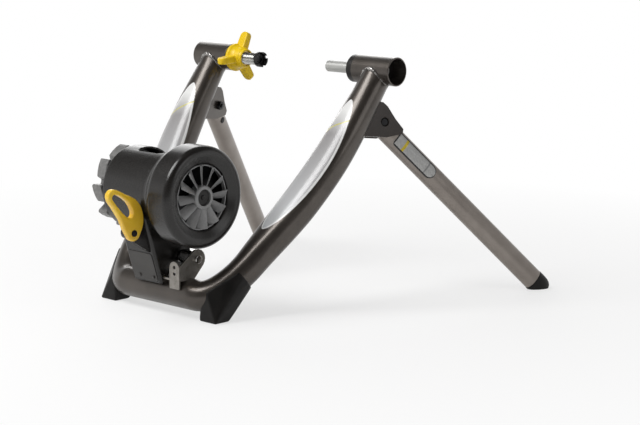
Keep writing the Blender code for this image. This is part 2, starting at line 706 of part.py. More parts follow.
# Right clamp: sliding rod, bushes, lever
def make_rod_clamp(root, rod_pivot, lever_pivot):
    axis = along_x(0, AXLE_HEIGHT)
    inner = CLAMP_TUBE_RADIUS - CLAMP_TUBE_WALL
    bore = ROD_RADIUS + GAP
    start = CLAMP_TUBE_INNER_X - 0.0120
    bush = [(start, bore), (start, 0.0208), (start + 0.0014, 0.0222), (CLAMP_TUBE_INNER_X - GAP, 0.0222),
            (CLAMP_TUBE_INNER_X - GAP, inner - GAP), (CLAMP_TUBE_INNER_X + 0.0030, inner - GAP),
            (CLAMP_TUBE_INNER_X + 0.0030, bore)]
    finish("rod_bush", turned(bush, axis, 24), "dark_plastic", root)
    guide = CLAMP_TUBE_INNER_X + 0.0440
    finish("rod_guide", pipe_shape(axis, guide, guide + 0.0080, inner - GAP, bore, 20), "dark_plastic", root)
    tip = CLAMP_GAP_HALF
    rod = [(tip + 0.0040, 0), (tip, 0.0046), (tip, ROD_RADIUS - 0.0010), (tip + 0.0010, ROD_RADIUS),
           (guide + 0.0110, ROD_RADIUS), (guide + 0.0120, ROD_RADIUS - 0.0010), (guide + 0.0120, 0)]
    finish("clamp_rod", turned(rod, axis, 24), "satin_steel", rod_pivot)

    angle = math.radians(LEVER_REST_DEGREES)
    out = Vector((0, math.cos(angle), math.sin(angle)))
    centre = Vector((LEVER_X, 0, AXLE_HEIGHT))
    stem_place = frame_from_axis(centre, out, (1, 0, 0))
    collar = finish("lever_collar", pipe_shape(axis, LEVER_X - 0.0065, LEVER_X + 0.0065, 0.0170, bore, 20),
                    "satin_steel")
    combine(collar, finish("hole", rod_shape(stem_place, 0.007, 0.020, LEVER_STEM_RADIUS + GAP, steps=14),
                           "satin_steel"))
    hang(collar, lever_pivot)
    smooth_again(collar)
    finish("lever_stem", rod_shape(stem_place, ROD_RADIUS + 0.0012, LEVER_LENGTH - 0.012, LEVER_STEM_RADIUS,
                                   0.0006, 14),
           "zinc_plate", lever_pivot)
    rings = []
    for along, half_x, half_t in ((0.0300, 0.0062, 0.0058), (0.0330, 0.0070, 0.0066),
                                  (0.0480, 0.0068, 0.0060),
                                  (0.0640, 0.0080, 0.0066), (LEVER_LENGTH - 0.004, 0.0076,
                                                             0.0062), (LEVER_LENGTH, 0.0055, 0.0045)):
        rings.append([stem_place @ Vector((a, b, along)) for a, b in superellipse(half_x, half_t, 2.6, 18)])
    grip = finish("clamp_lever_grip", lofted(rings), "yellow_plastic")
    combine(grip, finish("hole", rod_shape(stem_place, 0.02, LEVER_LENGTH - 0.0115, LEVER_STEM_RADIUS + GAP,
                                           steps=14), "yellow_plastic"))
    hang(grip, lever_pivot)
    smooth_again(grip, 45)


# Left clamp: threaded sleeve, cup for the skewer nut and a three-winged jam knob
def make_cup_clamp(root, cup_pivot, knob_pivot):
    axis = along_x(0, AXLE_HEIGHT)
    inner = CLAMP_TUBE_RADIUS - CLAMP_TUBE_WALL
    bore = SLEEVE_RADIUS + 0.0004
    insert = [(-CLAMP_TUBE_INNER_X - 0.0220, bore), (-CLAMP_TUBE_INNER_X - 0.0220, inner - GAP),
              (-CLAMP_TUBE_INNER_X + GAP, inner - GAP), (-CLAMP_TUBE_INNER_X + GAP, bore)]
    finish("threaded_insert", turned(insert, axis, 20), "satin_steel", root)
    end = -CLAMP_TUBE_OUTER_X + 0.0180
    sleeve = [(end, 0), (end, SLEEVE_RADIUS - 0.0012), (end + 0.0012, SLEEVE_RADIUS),
              (-CLAMP_GAP_HALF - 0.0125, SLEEVE_RADIUS), (-CLAMP_GAP_HALF - 0.0125,
                                                          0.0060), (-CLAMP_GAP_HALF - 0.0085, 0.0060),
              (-CLAMP_GAP_HALF - 0.0085, 0)]
    finish("cup_bolt", turned(sleeve, axis, 20), "zinc_plate", cup_pivot)
    cup = [(-CLAMP_GAP_HALF - 0.0122, 0.0063), (-CLAMP_GAP_HALF - 0.0122, 0.0104),
           (-CLAMP_GAP_HALF - 0.0100, CUP_RADIUS - 0.0006),
           (-CLAMP_GAP_HALF - 0.0090, CUP_RADIUS), (-CLAMP_GAP_HALF - 0.0004, CUP_RADIUS),
           (-CLAMP_GAP_HALF, CUP_RADIUS - 0.0005), (-CLAMP_GAP_HALF, CUP_RADIUS - 0.0026),
           (-CLAMP_GAP_HALF - 0.0082, 0.0090), (-CLAMP_GAP_HALF - 0.0082, 0.0063)]
    piece = finish("skewer_cup", turned(cup, axis, 24), "dark_plastic")
    for degrees in (0, 90, 180, 270):
        turn = Matrix.Rotation(math.radians(degrees + 20), 4, "X")
        notch = box_shape((-CLAMP_GAP_HALF - 0.0052, 0.004, -0.0026),
                          (-CLAMP_GAP_HALF + 0.004, 0.016, 0.0026))
        bmesh.ops.transform(notch, matrix=Matrix.Translation((0, 0, AXLE_HEIGHT)) @ turn, verts=notch.verts)
        combine(piece, finish("notch", notch, "dark_plastic"))
    hang(piece, cup_pivot)
    smooth_again(piece)

    knob_start, knob_end = -CLAMP_TUBE_INNER_X + GAP + 0.0003, KNOB_X + 0.0180
    hub = [(knob_start, bore + 0.0022), (knob_start, KNOB_PLATE_RADIUS - 0.0015),
           (knob_start + 0.0015, KNOB_PLATE_RADIUS),
           (knob_start + 0.0060, KNOB_PLATE_RADIUS), (knob_start + 0.0080, KNOB_PLATE_RADIUS - 0.0020),
           (knob_start + 0.0120, 0.0165), (knob_end - 0.0020, 0.0150), (knob_end, 0.0135), (knob_end,
                                                                                            bore + 0.0022)]
    knob = finish("jam_knob", turned(hub, axis, 20), "yellow_plastic")
    for degrees in KNOB_WING_DEGREES:
        combine(knob, finish("wing", knob_wing(math.radians(degrees), knob_start), "yellow_plastic"), "UNION")
    combine(knob, finish("hole", rod_shape(axis, knob_start - 0.01, knob_end + 0.01, bore + 0.0022,
                                           steps=28), "yellow_plastic"))
    hang(knob, knob_pivot)
    smooth_again(knob, 40)
    finish("knob_nut", pipe_shape(axis, knob_start, knob_end + 0.0012, bore + 0.0019, bore, 20), "brass",
           knob_pivot)


def knob_wing(angle, start):
    """One wing: thick at the hub, thinner and rounded at the tip."""
    out = Vector((0, math.cos(angle), math.sin(angle)))
    side = Vector((0, -math.sin(angle), math.cos(angle)))
    rings = []
    for radius, half_side, low, high in ((0.0125, 0.0070, 0.0008, 0.0210), (0.0240, 0.0068, 0.0008, 0.0185),
                                         (0.0340, 0.0058, 0.0012, 0.0165), (KNOB_WING_RADIUS - 0.0040,
                                                                            0.0050, 0.0018, 0.0150),
                                         (KNOB_WING_RADIUS, 0.0030, 0.0040, 0.0125)):
        middle, half = (low + high) / 2, (high - low) / 2
        centre = Vector((start + middle, 0, AXLE_HEIGHT)) + out * radius
        rings.append([centre + Vector((a, 0, 0)) + side * b for a,
                      b in superellipse(half, half_side, 3.0, 10)])
    return lofted(rings)


PUSH_DIR = (Vector((PUSH_POINT_Y, PUSH_POINT_Z)) - Vector((TENSION_Y, TENSION_Z))).normalized()
PUSH_ROD_X = (LUG_LOW_X + 0.0025 + TENSION_X - TENSION_THICK) / 2


# Saddle: zinc-plated bracket on the cross tube that carries the unit's swing pin
SADDLE_LEFT_X = -0.0235
SADDLE_RIGHT_X = 0.0665
SADDLE_PLATE = 0.0030
SADDLE_BASE_Z = CROSS_TUBE_HEIGHT + FRAME_TUBE_RADIUS + GAP
SADDLE_BOLTS_X = (0.0385, 0.0560)
SADDLE_BOLT_Y = CROSS_TUBE_Y
SADDLE_BOLT_RADIUS = 0.0030
SADDLE_FRONT_Y = -0.2890
CHEEK_RADIUS = 0.0160
EAR_LEFT_X = 0.0440
EAR_TOP_Z = 0.0880
EAR_HOLE_RADIUS = 0.0030


def make_saddle(parent):
    rear = CROSS_TUBE_Y - FRAME_TUBE_RADIUS - 0.0020
    saddle = finish("unit_saddle", box_shape((SADDLE_LEFT_X, rear, SADDLE_BASE_Z),
                                             (SADDLE_RIGHT_X, SADDLE_FRONT_Y,
                                              SADDLE_BASE_Z + SADDLE_PLATE)), "zinc_plate")
    side_view = Matrix(((0, 0, 1, 0), (1, 0, 0, 0), (0, 1, 0, 0), (0, 0, 0, 1)))
    cheek = [(rear, SADDLE_BASE_Z + 0.001), (SADDLE_FRONT_Y, SADDLE_BASE_Z + 0.001)]
    cheek += arc_points(SWING_Y, SWING_Z, CHEEK_RADIUS, -40, 115, 9)
    cheek.append((rear, SADDLE_BASE_Z + 0.0220))
    for low in (SADDLE_LEFT_X, SADDLE_RIGHT_X - SADDLE_PLATE):
        combine(saddle, finish("cheek", prism(cheek, low, low + SADDLE_PLATE, side_view), "zinc_plate"),
                "UNION")
    back_view = Matrix(((1, 0, 0, 0), (0, 0, 1, 0), (0, 1, 0, 0), (0, 0, 0, 1)))
    ear_radius = (SADDLE_RIGHT_X - EAR_LEFT_X) / 2
    ear_middle = (SADDLE_RIGHT_X + EAR_LEFT_X) / 2
    ear = [(EAR_LEFT_X, CROSS_TUBE_HEIGHT + 0.0100), (SADDLE_RIGHT_X, CROSS_TUBE_HEIGHT + 0.0100)]
    ear += arc_points(ear_middle, EAR_TOP_Z - ear_radius, ear_radius, 0, 180, 11)
    combine(saddle, finish("ear", prism(ear, rear, rear + SADDLE_PLATE * 0.8, back_view), "zinc_plate"),
            "UNION")
    face = Vector((PUSH_POINT_Y, PUSH_POINT_Z)) + PUSH_DIR * PUSH_TIP_GAP
    up = Vector((-PUSH_DIR.y, PUSH_DIR.x))
    tongue = [face - up * 0.0060, face + up * 0.0070, face + up * 0.0070 + PUSH_DIR * 0.0030]
    tongue += [Vector((-0.3080, SADDLE_BASE_Z + 0.0010)), Vector((rear, SADDLE_BASE_Z + 0.0010))]
    tab = prism([(point.x, point.y) for point in tongue], PUSH_ROD_X - 0.0060, PUSH_ROD_X + 0.0060, side_view)
    combine(saddle, finish("tongue", tab, "zinc_plate"), "UNION")
    pin_axis = along_x(SWING_Y, SWING_Z)
    combine(saddle, finish("hole", rod_shape(pin_axis, -0.05, 0.09, SWING_PIN_RADIUS + GAP, steps=20),
                           "zinc_plate"))
    for z in (EAR_TOP_Z - 0.0090, EAR_TOP_Z - 0.0190):
        place = Matrix.Translation((ear_middle, rear - 0.01, z)) @ Matrix.Rotation(math.radians(-90), 4, "X")
        hole = rod_shape(place, 0.0, 0.02, EAR_HOLE_RADIUS, steps=14)
        combine(saddle, finish("hole", hole, "zinc_plate"))
    for x in SADDLE_BOLTS_X:
        hole = rod_shape(Matrix.Translation((x, SADDLE_BOLT_Y, 0)), 0.05, 0.07, SADDLE_BOLT_RADIUS + GAP,
                         steps=12)
        combine(saddle, finish("hole", hole, "zinc_plate"))
    hang(saddle, parent)
    smooth_again(saddle)

    top = SADDLE_BASE_Z + SADDLE_PLATE + GAP
    bolt = [(CROSS_TUBE_HEIGHT + 0.008, 0), (CROSS_TUBE_HEIGHT + 0.008, SADDLE_BOLT_RADIUS),
            (top, SADDLE_BOLT_RADIUS), (top, 0.0056), (top + 0.0040, 0.0056), (top + 0.0048, 0.0046),
            (top + 0.0048, 0)]
    for tag, x in zip(("left", "right"), SADDLE_BOLTS_X):
        place = Matrix.Translation((x, SADDLE_BOLT_Y, 0))
        finish("saddle_bolt_" + tag, turned(bolt, place, 12), "black_steel", parent)
    pin = [(SADDLE_LEFT_X - 0.0020, 0), (SADDLE_LEFT_X - 0.0020, SWING_PIN_RADIUS - 0.0005),
           (SADDLE_LEFT_X - 0.0014, SWING_PIN_RADIUS),
           (SADDLE_RIGHT_X + GAP, SWING_PIN_RADIUS), (SADDLE_RIGHT_X + GAP,
                                                      0.0066), (SADDLE_RIGHT_X + 0.0034, 0.0066),
           (SADDLE_RIGHT_X + 0.0042, 0.0054), (SADDLE_RIGHT_X + 0.0042, 0)]
    finish("swing_pin", turned(pin, pin_axis, 16), "zinc_plate", parent)


def add_to(bm, other):
    """Add another bmesh's bodies to bm."""
    mesh = bpy.data.meshes.new("part")
    other.to_mesh(mesh)
    other.free()
    bm.from_mesh(mesh)
    bpy.data.meshes.remove(mesh)


# Yoke: steel frame of the unit, from the swing hub up to the two bearings
CHEEK_X = 0.0290
BEARING_RADIUS = 0.0110
BEARING_HALF = 0.0040
HUB_RADIUS = 0.0090
POST_TOP_Z = 0.1430


def make_yoke(parent):
    side_view = X_AXIS_FRAME
    pin_axis = along_x(SWING_Y, SWING_Z)
    unit_axis = along_x(ROLLER_Y, ROLLER_Z)
    left, right = SADDLE_LEFT_X + SADDLE_PLATE + RUN_GAP, SADDLE_RIGHT_X - SADDLE_PLATE - RUN_GAP
    yoke = finish("unit_yoke", rod_shape(pin_axis, left, right, HUB_RADIUS, 0.0006, 20), "zinc_plate")
    block = rounded_box_outline(SWING_Y - 0.0125, SWING_Y + 0.0135, SWING_Z - 0.0085, SWING_Z + 0.0135,
                                0.0060, 4)
    combine(yoke, finish("block", prism(block, 0.0400, right, side_view), "zinc_plate"), "UNION")
    post = [(SWING_Y - 0.0100, SWING_Z), (SWING_Y + 0.0090, SWING_Z),
            (ROLLER_Y + 0.0130, POST_TOP_Z + 0.002), (ROLLER_Y - 0.0150, POST_TOP_Z + 0.002)]
    combine(yoke, finish("post", prism(post, -0.0055, 0.0120, side_view), "zinc_plate"), "UNION")
    tray = [(ROLLER_Y - 0.0150, POST_TOP_Z), (ROLLER_Y + 0.0130, POST_TOP_Z),
            (ROLLER_Y + 0.0130, POST_TOP_Z + 0.004), (ROLLER_Y - 0.0150, POST_TOP_Z + 0.004)]
    combine(yoke, finish("tray", prism(tray, -CHEEK_X - 0.003, CHEEK_X + 0.003, side_view), "zinc_plate"),
            "UNION")
    shelf = box_shape((-0.0240, neck_rear(POST_TOP_Z) + SHELL_WALL + 0.0004, POST_TOP_Z + 0.0005),
                      (0.0240, NECK_FRONT_Y - SHELL_WALL - 0.0004, POST_TOP_Z + 0.0035))
    combine(yoke, finish("shelf", shelf, "zinc_plate"), "UNION")
    for low in (-CHEEK_X - 0.003, CHEEK_X):
        cheek = [(ROLLER_Y - 0.0150, POST_TOP_Z + 0.001), (ROLLER_Y + 0.0130, POST_TOP_Z + 0.001)]
        cheek += arc_points(ROLLER_Y, ROLLER_Z, 0.0160, 0, 180, 11)
        combine(yoke, finish("cheek", prism(cheek, low, low + 0.003, side_view), "zinc_plate"), "UNION")
    combine(yoke, finish("hole", rod_shape(pin_axis, -0.05, 0.09, SWING_PIN_RADIUS + GAP, steps=20),
                         "zinc_plate"))
    combine(yoke, finish("hole", rod_shape(unit_axis, -0.05, 0.05, BEARING_RADIUS + GAP, steps=20),
                         "zinc_plate"))
    hang(yoke, parent)
    smooth_again(yoke)
    for tag, middle in (("left", -CHEEK_X - 0.0015), ("right", CHEEK_X + 0.0015)):
        ring = [(middle - BEARING_HALF + 0.0012, SHAFT_RADIUS + GAP),
                (middle - BEARING_HALF + 0.0012, BEARING_RADIUS),
                (middle + BEARING_HALF - 0.0012, BEARING_RADIUS), (middle + BEARING_HALF - 0.0012,
                                                                   SHAFT_RADIUS + GAP)]
        finish("bearing_" + tag, turned(ring, unit_axis, 20), "satin_steel", parent)


# Shroud: moulded barrel and neck on the left, fan housing on the right
def neck_ring(z, inset):
    outline = rounded_box_outline(NECK_LEFT_X + inset, NECK_RIGHT_X - inset, neck_rear(z) + inset,
                                  NECK_FRONT_Y - inset,
                                  max(NECK_CORNER - inset, 0.0015), 4)
    return [Vector((x, y, z)) for x, y in outline]


NECK_LEFT_X = -0.0360
NECK_RIGHT_X = 0.0300
NECK_FRONT_Y = -0.2620
NECK_BASE_Z = 0.0500
NECK_BASE_REAR_Y = -0.3255
NECK_TOP_Z = 0.1680
NECK_TOP_REAR_Y = -0.3620
NECK_CORNER = 0.0050
NECK_SIDE_BASE_Z = 0.0645      # the side walls end over the saddle, the back reaches lower


def neck_rear(z):
    """Outer face of the neck's sloping back at a height."""
    share = (z - NECK_BASE_Z) / (NECK_TOP_Z - NECK_BASE_Z)
    return NECK_BASE_REAR_Y + (NECK_TOP_REAR_Y - NECK_BASE_REAR_Y) * share


def barrel_and_neck(inset, name, drop_to):
    """Barrel and neck as one closed body, drawn in by inset and let out at its open ends."""
    unit_axis = along_x(ROLLER_Y, ROLLER_Z)
    edge = 0.0060
    radius = BARREL_RADIUS - inset
    low = BARREL_LEFT_X + inset
    high = BARREL_RIGHT_X + drop_to / 2
    profile = [(low, 0), (low, radius - edge)]
    profile += [(low + edge - edge * math.cos(a), radius - edge + edge * math.sin(a)) for a in (0.52, 1.05,
                                                                                                1.571)]
    profile += [(high, radius), (high, 0)]
    body = finish(name, turned(profile, unit_axis, 36), "shell_plastic")
    rings = [neck_ring(NECK_BASE_Z - drop_to, inset), neck_ring(NECK_TOP_Z, inset)]
    combine(body, finish("neck", lofted(rings), "shell_plastic"), "UNION")
    return body


def tyre_space():
    """Room for the tyre: a slice of the wheel's circle with rounded rims."""
    half = TYRE_SLOT_HALF
    radius = WHEEL_CLEARANCE_RADIUS
    profile = [(-half, 0), (-half, radius - 0.010), (-half + 0.003, radius - 0.003), (-half + 0.010, radius),
               (half - 0.010, radius), (half - 0.003, radius - 0.003), (half, radius - 0.010), (half, 0)]
    return finish("tyre", turned(profile, along_x(0, AXLE_HEIGHT), 80), "shell_plastic")


def add_lug(shell):
    """Fin on the back of the neck that carries the lever, its cam and the bore of the push rod."""
    place = along_x(TENSION_Y, TENSION_Z)
    face_x = TENSION_X - TENSION_THICK - GAP
    root = SHELL_WALL * 0.6
    low_z, high_z = TENSION_Z - 0.0380, TENSION_Z + 0.0300
    lug = [(neck_rear(low_z) + root - TENSION_Y, low_z - TENSION_Z),
           (neck_rear(high_z) + root - TENSION_Y, high_z - TENSION_Z),
           (neck_rear(high_z) - TENSION_Y, high_z + 0.0050 - TENSION_Z), (0.0000, 0.0160)]
    lug += arc_points(0, 0, LUG_RADIUS, 125, 262, 10)
    combine(shell, finish("lug", prism(lug, LUG_LOW_X, face_x, place), "shell_plastic"), "UNION")
    pocket = rod_shape(place, LUG_LOW_X + 0.0025, face_x + 0.02, CAM_RADIUS + CAM_OFFSET + 0.0004, steps=20)
    combine(shell, finish("pocket", pocket, "shell_plastic"))
    combine(shell, finish("hole", rod_shape(place, -0.02, 0.05, TENSION_SCREW_RADIUS + GAP, steps=16),
                          "shell_plastic"))
    combine(shell, finish("bore", rod_shape(push_place(), 0.004, 0.060, PUSH_ROD_RADIUS + GAP, steps=14),
                          "shell_plastic"))


def push_place():
    """Local Z along the push rod, from the lever's pivot to the saddle."""
    return frame_from_axis((PUSH_ROD_X, TENSION_Y, TENSION_Z), (0, PUSH_DIR.x, PUSH_DIR.y), (1, 0, 0))


REAR_DIR = Vector((0, NECK_TOP_REAR_Y - NECK_BASE_REAR_Y, NECK_TOP_Z - NECK_BASE_Z)).normalized()
REAR_OUT = Vector((0, -REAR_DIR.z, REAR_DIR.y))
REAR_SCREWS_X = (-0.0160, 0.0160)
REAR_SCREW_RADIUS = 0.0016
REAR_COVER_LENGTH = 0.0480


def rear_place():
    """Local X across the neck, local Y up its back and local Z out of it."""
    place = Matrix((Vector((1, 0, 0)), REAR_DIR, REAR_OUT)).transposed().to_4x4()
    if place.determinant() < 0:
        place = place @ Matrix.Diagonal((-1, 1, 1, 1))
    place.translation = Vector((0, NECK_BASE_REAR_Y, NECK_BASE_Z))
    return place


def rear_cover_shape(grow, low, high):
    outline = rounded_box_outline(NECK_LEFT_X + 0.0050 - grow, NECK_RIGHT_X - 0.0060 + grow, 0.0030 - grow,
                                  0.0030 + REAR_COVER_LENGTH + grow, 0.0040, 4)
    return prism(outline, low, high, rear_place())


def rear_screw_hole(x, radius, low, high):
    return rod_shape(rear_place() @ Matrix.Translation((x, 0.0100, 0)), low, high, radius, steps=12)


def make_shroud_left(parent):
    shell = barrel_and_neck(0.0, "shroud_body", 0.0)
    combine(shell, tyre_space())
    under = box_shape((-0.08, CROSS_TUBE_Y - FRAME_TUBE_RADIUS - 0.0030, 0.0),
                      (0.08, -0.20, NECK_SIDE_BASE_Z))
    combine(shell, finish("under", under, "shell_plastic"))
    cavity = barrel_and_neck(SHELL_WALL, "cavity", 0.02)
    combine(shell, cavity)
    hub_room = rod_shape(along_x(SWING_Y, SWING_Z), 0.0, 0.06, HUB_RADIUS + RUN_GAP, steps=20)
    combine(shell, finish("hub_room", hub_room, "shell_plastic"))
    unit_axis = along_x(ROLLER_Y, ROLLER_Z)
    combine(shell, finish("mouth", rod_shape(unit_axis, BARREL_LEFT_X - 0.01, BARREL_LEFT_X + 0.012,
                                             DRUM_RADIUS + 0.0015, steps=40), "shell_plastic"))
    add_lug(shell)
    panel_room = finish("panel_room", rear_cover_shape(GAP, -0.0012, 0.02), "shell_plastic")
    combine(shell, panel_room)
    for x in REAR_SCREWS_X:
        combine(shell, finish("hole", rear_screw_hole(x, REAR_SCREW_RADIUS + GAP, -0.01, 0.01),
                              "shell_plastic"))
    keep_largest(shell)
    hang(shell, parent)
    return smooth_again(shell)


def make_shroud_right(parent):
    """Fan housing: a shoulder that swells to a ring, a rolled rim, a shallow dish and the fan's opening."""
    unit_axis = along_x(ROLLER_Y, ROLLER_Z)
    start = BARREL_RIGHT_X + GAP
    rim = 0.0105
    throat = FAN_RADIUS + 0.0012
    front = RING_FRONT_X
    outside = [(CHEEK_X + 0.0030 + GAP, BEARING_RADIUS + 0.0020),
               (CHEEK_X + 0.0030 + GAP, BEARING_RADIUS + 0.0080),
               (start, BEARING_RADIUS + 0.0080), (start, BARREL_RADIUS), (start + 0.0100,
                                                                          BARREL_RADIUS + 0.0015),
               (start + 0.0180, BARREL_RADIUS + 0.0060), (start + 0.0250,
                                                          RING_RADIUS - 0.0030), (start + 0.0310,
                                                                                  RING_RADIUS),
               (front - rim, RING_RADIUS), (front - rim * 0.50, RING_RADIUS - rim * 0.13),
               (front - rim * 0.13, RING_RADIUS - rim * 0.50), (front, RING_RADIUS - rim),
               (front - 0.0008, RING_RADIUS - rim - 0.0050), (front - 0.0040, throat + 0.0060),
               (front - 0.0070, throat + 0.0015), (front - 0.0070, throat), (front - 0.0200, throat)]
    wall = SHELL_WALL
    inside = [(front - 0.0200, throat + wall), (front - 0.0095, throat + wall),
              (front - 0.0070, throat + 0.0080),
              (front - 0.0035, RING_RADIUS - rim - 0.0030), (front - rim * 0.55,
                                                             RING_RADIUS - rim * 0.5 - wall * 0.4),
              (front - rim, RING_RADIUS - wall), (start + 0.0310, RING_RADIUS - wall),
              (start + 0.0190, BARREL_RADIUS + 0.0035), (start + 0.0110, BARREL_RADIUS - wall + 0.0015),
              (start + wall, BARREL_RADIUS - wall), (start + wall, BEARING_RADIUS + 0.0020)]
    finish("shroud_fan_housing", turned(outside + inside, unit_axis, 32), "shell_plastic", parent, 40)


def make_rear_cover(parent):
    """Flat cover let into the back of the neck, held by two screws."""
    cover = finish("shroud_rear_cover", rear_cover_shape(0.0, -0.0009, 0.0009), "shell_plastic")
    for x in REAR_SCREWS_X:
        combine(cover, finish("hole", rear_screw_hole(x, REAR_SCREW_RADIUS + GAP, -0.01, 0.01),
                              "shell_plastic"))
    hang(cover, parent)
    smooth_again(cover)
    head = 0.0009 + GAP
    profile = [(-0.0050, 0), (-0.0050, REAR_SCREW_RADIUS), (head, REAR_SCREW_RADIUS), (head, 0.0030),
               (head + 0.0010, 0.0028), (head + 0.0016, 0)]
    for tag, x in zip(("left", "right"), REAR_SCREWS_X):
        place = rear_place() @ Matrix.Translation((x, 0.0100, 0))
        finish("rear_cover_screw_" + tag, turned(profile, place, 12), "black_steel", parent)


# Rotor: roller, shaft, flywheel, turbine fan and impeller
def make_rotor(parent):
    unit_axis = along_x(ROLLER_Y, ROLLER_Z)
    shaft = [(-0.0785, 0), (-0.0785, SHAFT_RADIUS - 0.0005), (-0.0780, SHAFT_RADIUS),
             (0.0905, SHAFT_RADIUS), (0.0910, SHAFT_RADIUS - 0.0005), (0.0910, 0)]
    finish("rotor_shaft", turned(shaft, unit_axis, 16), "satin_steel", parent)
    bore = SHAFT_RADIUS + GAP
    roller = [(-ROLLER_HALF, bore), (-ROLLER_HALF, ROLLER_RADIUS - 0.0010),
              (-ROLLER_HALF + 0.0010, ROLLER_RADIUS),
              (ROLLER_HALF - 0.0010, ROLLER_RADIUS), (ROLLER_HALF, ROLLER_RADIUS - 0.0010), (ROLLER_HALF,
                                                                                             bore)]
    finish("roller", turned(roller, unit_axis, 28), "satin_steel", parent)
    left, right = FLYWHEEL_LEFT_X, FLYWHEEL_RIGHT_X
    wheel = [(left, bore), (left, bore + 0.0107), (left + 0.0060, bore + 0.0127),
             (left + 0.0020, FLYWHEEL_RADIUS), (right, FLYWHEEL_RADIUS),
             (right - 0.0040, bore + 0.0107), (right, bore + 0.0097), (right, bore)]
    finish("flywheel", turned(wheel, unit_axis, 20), "black_steel", parent)
    make_fan(parent, unit_axis, bore)


FAN_HUB_RADIUS = 0.0187
FAN_CAP_RADIUS = 0.0126


def make_fan(parent, unit_axis, bore):
    back = FAN_X - 0.0180
    hub = [(back, bore), (back, FAN_HUB_RADIUS - 0.0012), (back + 0.0012, FAN_HUB_RADIUS),
           (FAN_X - 0.0014, FAN_HUB_RADIUS),
           (FAN_X, FAN_HUB_RADIUS - 0.0014), (FAN_X, FAN_CAP_RADIUS + 0.0004),
           (FAN_X - 0.0060, FAN_CAP_RADIUS + 0.0004), (FAN_X - 0.0060, bore)]
    fan = turned(hub, unit_axis, 24)
    rim = pipe_shape(unit_axis, FAN_X - 0.0130, FAN_X - 0.0060, FAN_RADIUS, FAN_RADIUS - 0.0018, 32)
    fan_piece = finish("turbine_fan", fan, "fan_grey")
    rim_piece = finish("rim", rim, "fan_grey")
    blades = bmesh.new()
    for i in range(FAN_BLADES):
        add_to(blades, fan_blade(2 * math.pi * i / FAN_BLADES, unit_axis))
    combine(rim_piece, finish("blades", blades, "fan_grey"), "UNION")
    combine(fan_piece, rim_piece, "UNION")
    hang(fan_piece, parent)
    smooth_again(fan_piece)
    cap = [(FAN_X - 0.0057, 0), (FAN_X - 0.0057, FAN_CAP_RADIUS), (FAN_X - 0.0030, FAN_CAP_RADIUS),
           (FAN_X - 0.0022, FAN_CAP_RADIUS - 0.0016),
           (FAN_X - 0.0036, FAN_CAP_RADIUS - 0.0036), (FAN_X - 0.0036, 0.0040), (FAN_X - 0.0018,
                                                                                 0.0034), (FAN_X - 0.0018, 0)]
    finish("fan_hub_cap", turned(cap, unit_axis, 24), "dark_plastic", parent)


def fan_blade(turn, unit_axis):
    """Twisted blade from hub to rim: steep at the hub and flatter at the rim."""
    rings = []
    for radius, pitch, chord in ((FAN_HUB_RADIUS - 0.0008, 50, 0.0130), (0.0340, 41, 0.0157),
                                 (FAN_RADIUS - 0.0010, 33, 0.0170)):
        angle = math.radians(pitch)
        half = 0.00055
        along = (math.cos(angle), math.sin(angle))
        ring = []
        for share, side in ((0.0, 0.4), (0.5, 1.0), (1.0, 0.4), (1.0, -0.4), (0.5, -1.0), (0.0, -0.4)):
            camber = 0.0012 * math.sin(math.pi * share)
            s = (share - 0.5) * chord
            across = s * along[0] + (side * half + camber) * along[1]
            depth = -(share * chord * along[1]) + (side * half + camber) * along[0]
            theta = turn - across / radius
            ring.append(unit_axis @ Vector((radius * math.cos(theta), radius * math.sin(theta),
                                            FAN_X - 0.0012 + depth)))
        rings.append(ring)
    return lofted(rings)


# Fluid unit: finned cast drum with its cover, seal and impeller
def fin_outline():
    """Drum with saw-tooth cooling fins, each highest at its leading end."""
    points = []
    step = 360 / FIN_COUNT
    for i in range(FIN_COUNT):
        start = FIN_START_DEGREES + step * i
        points += arc_points(0, 0, DRUM_RADIUS - 0.0015, start - 9, start - 1, 2)
        points.append(polar(FIN_RADIUS - 0.0030, start))
        points += [polar(FIN_RADIUS - 0.0080 * share, start + 2 + 26 * share) for share in (0.0, 0.33, 0.67,
                                                                                            1.0)]
    return points


def polar(radius, degrees):
    return (radius * math.cos(math.radians(degrees)), radius * math.sin(math.radians(degrees)))


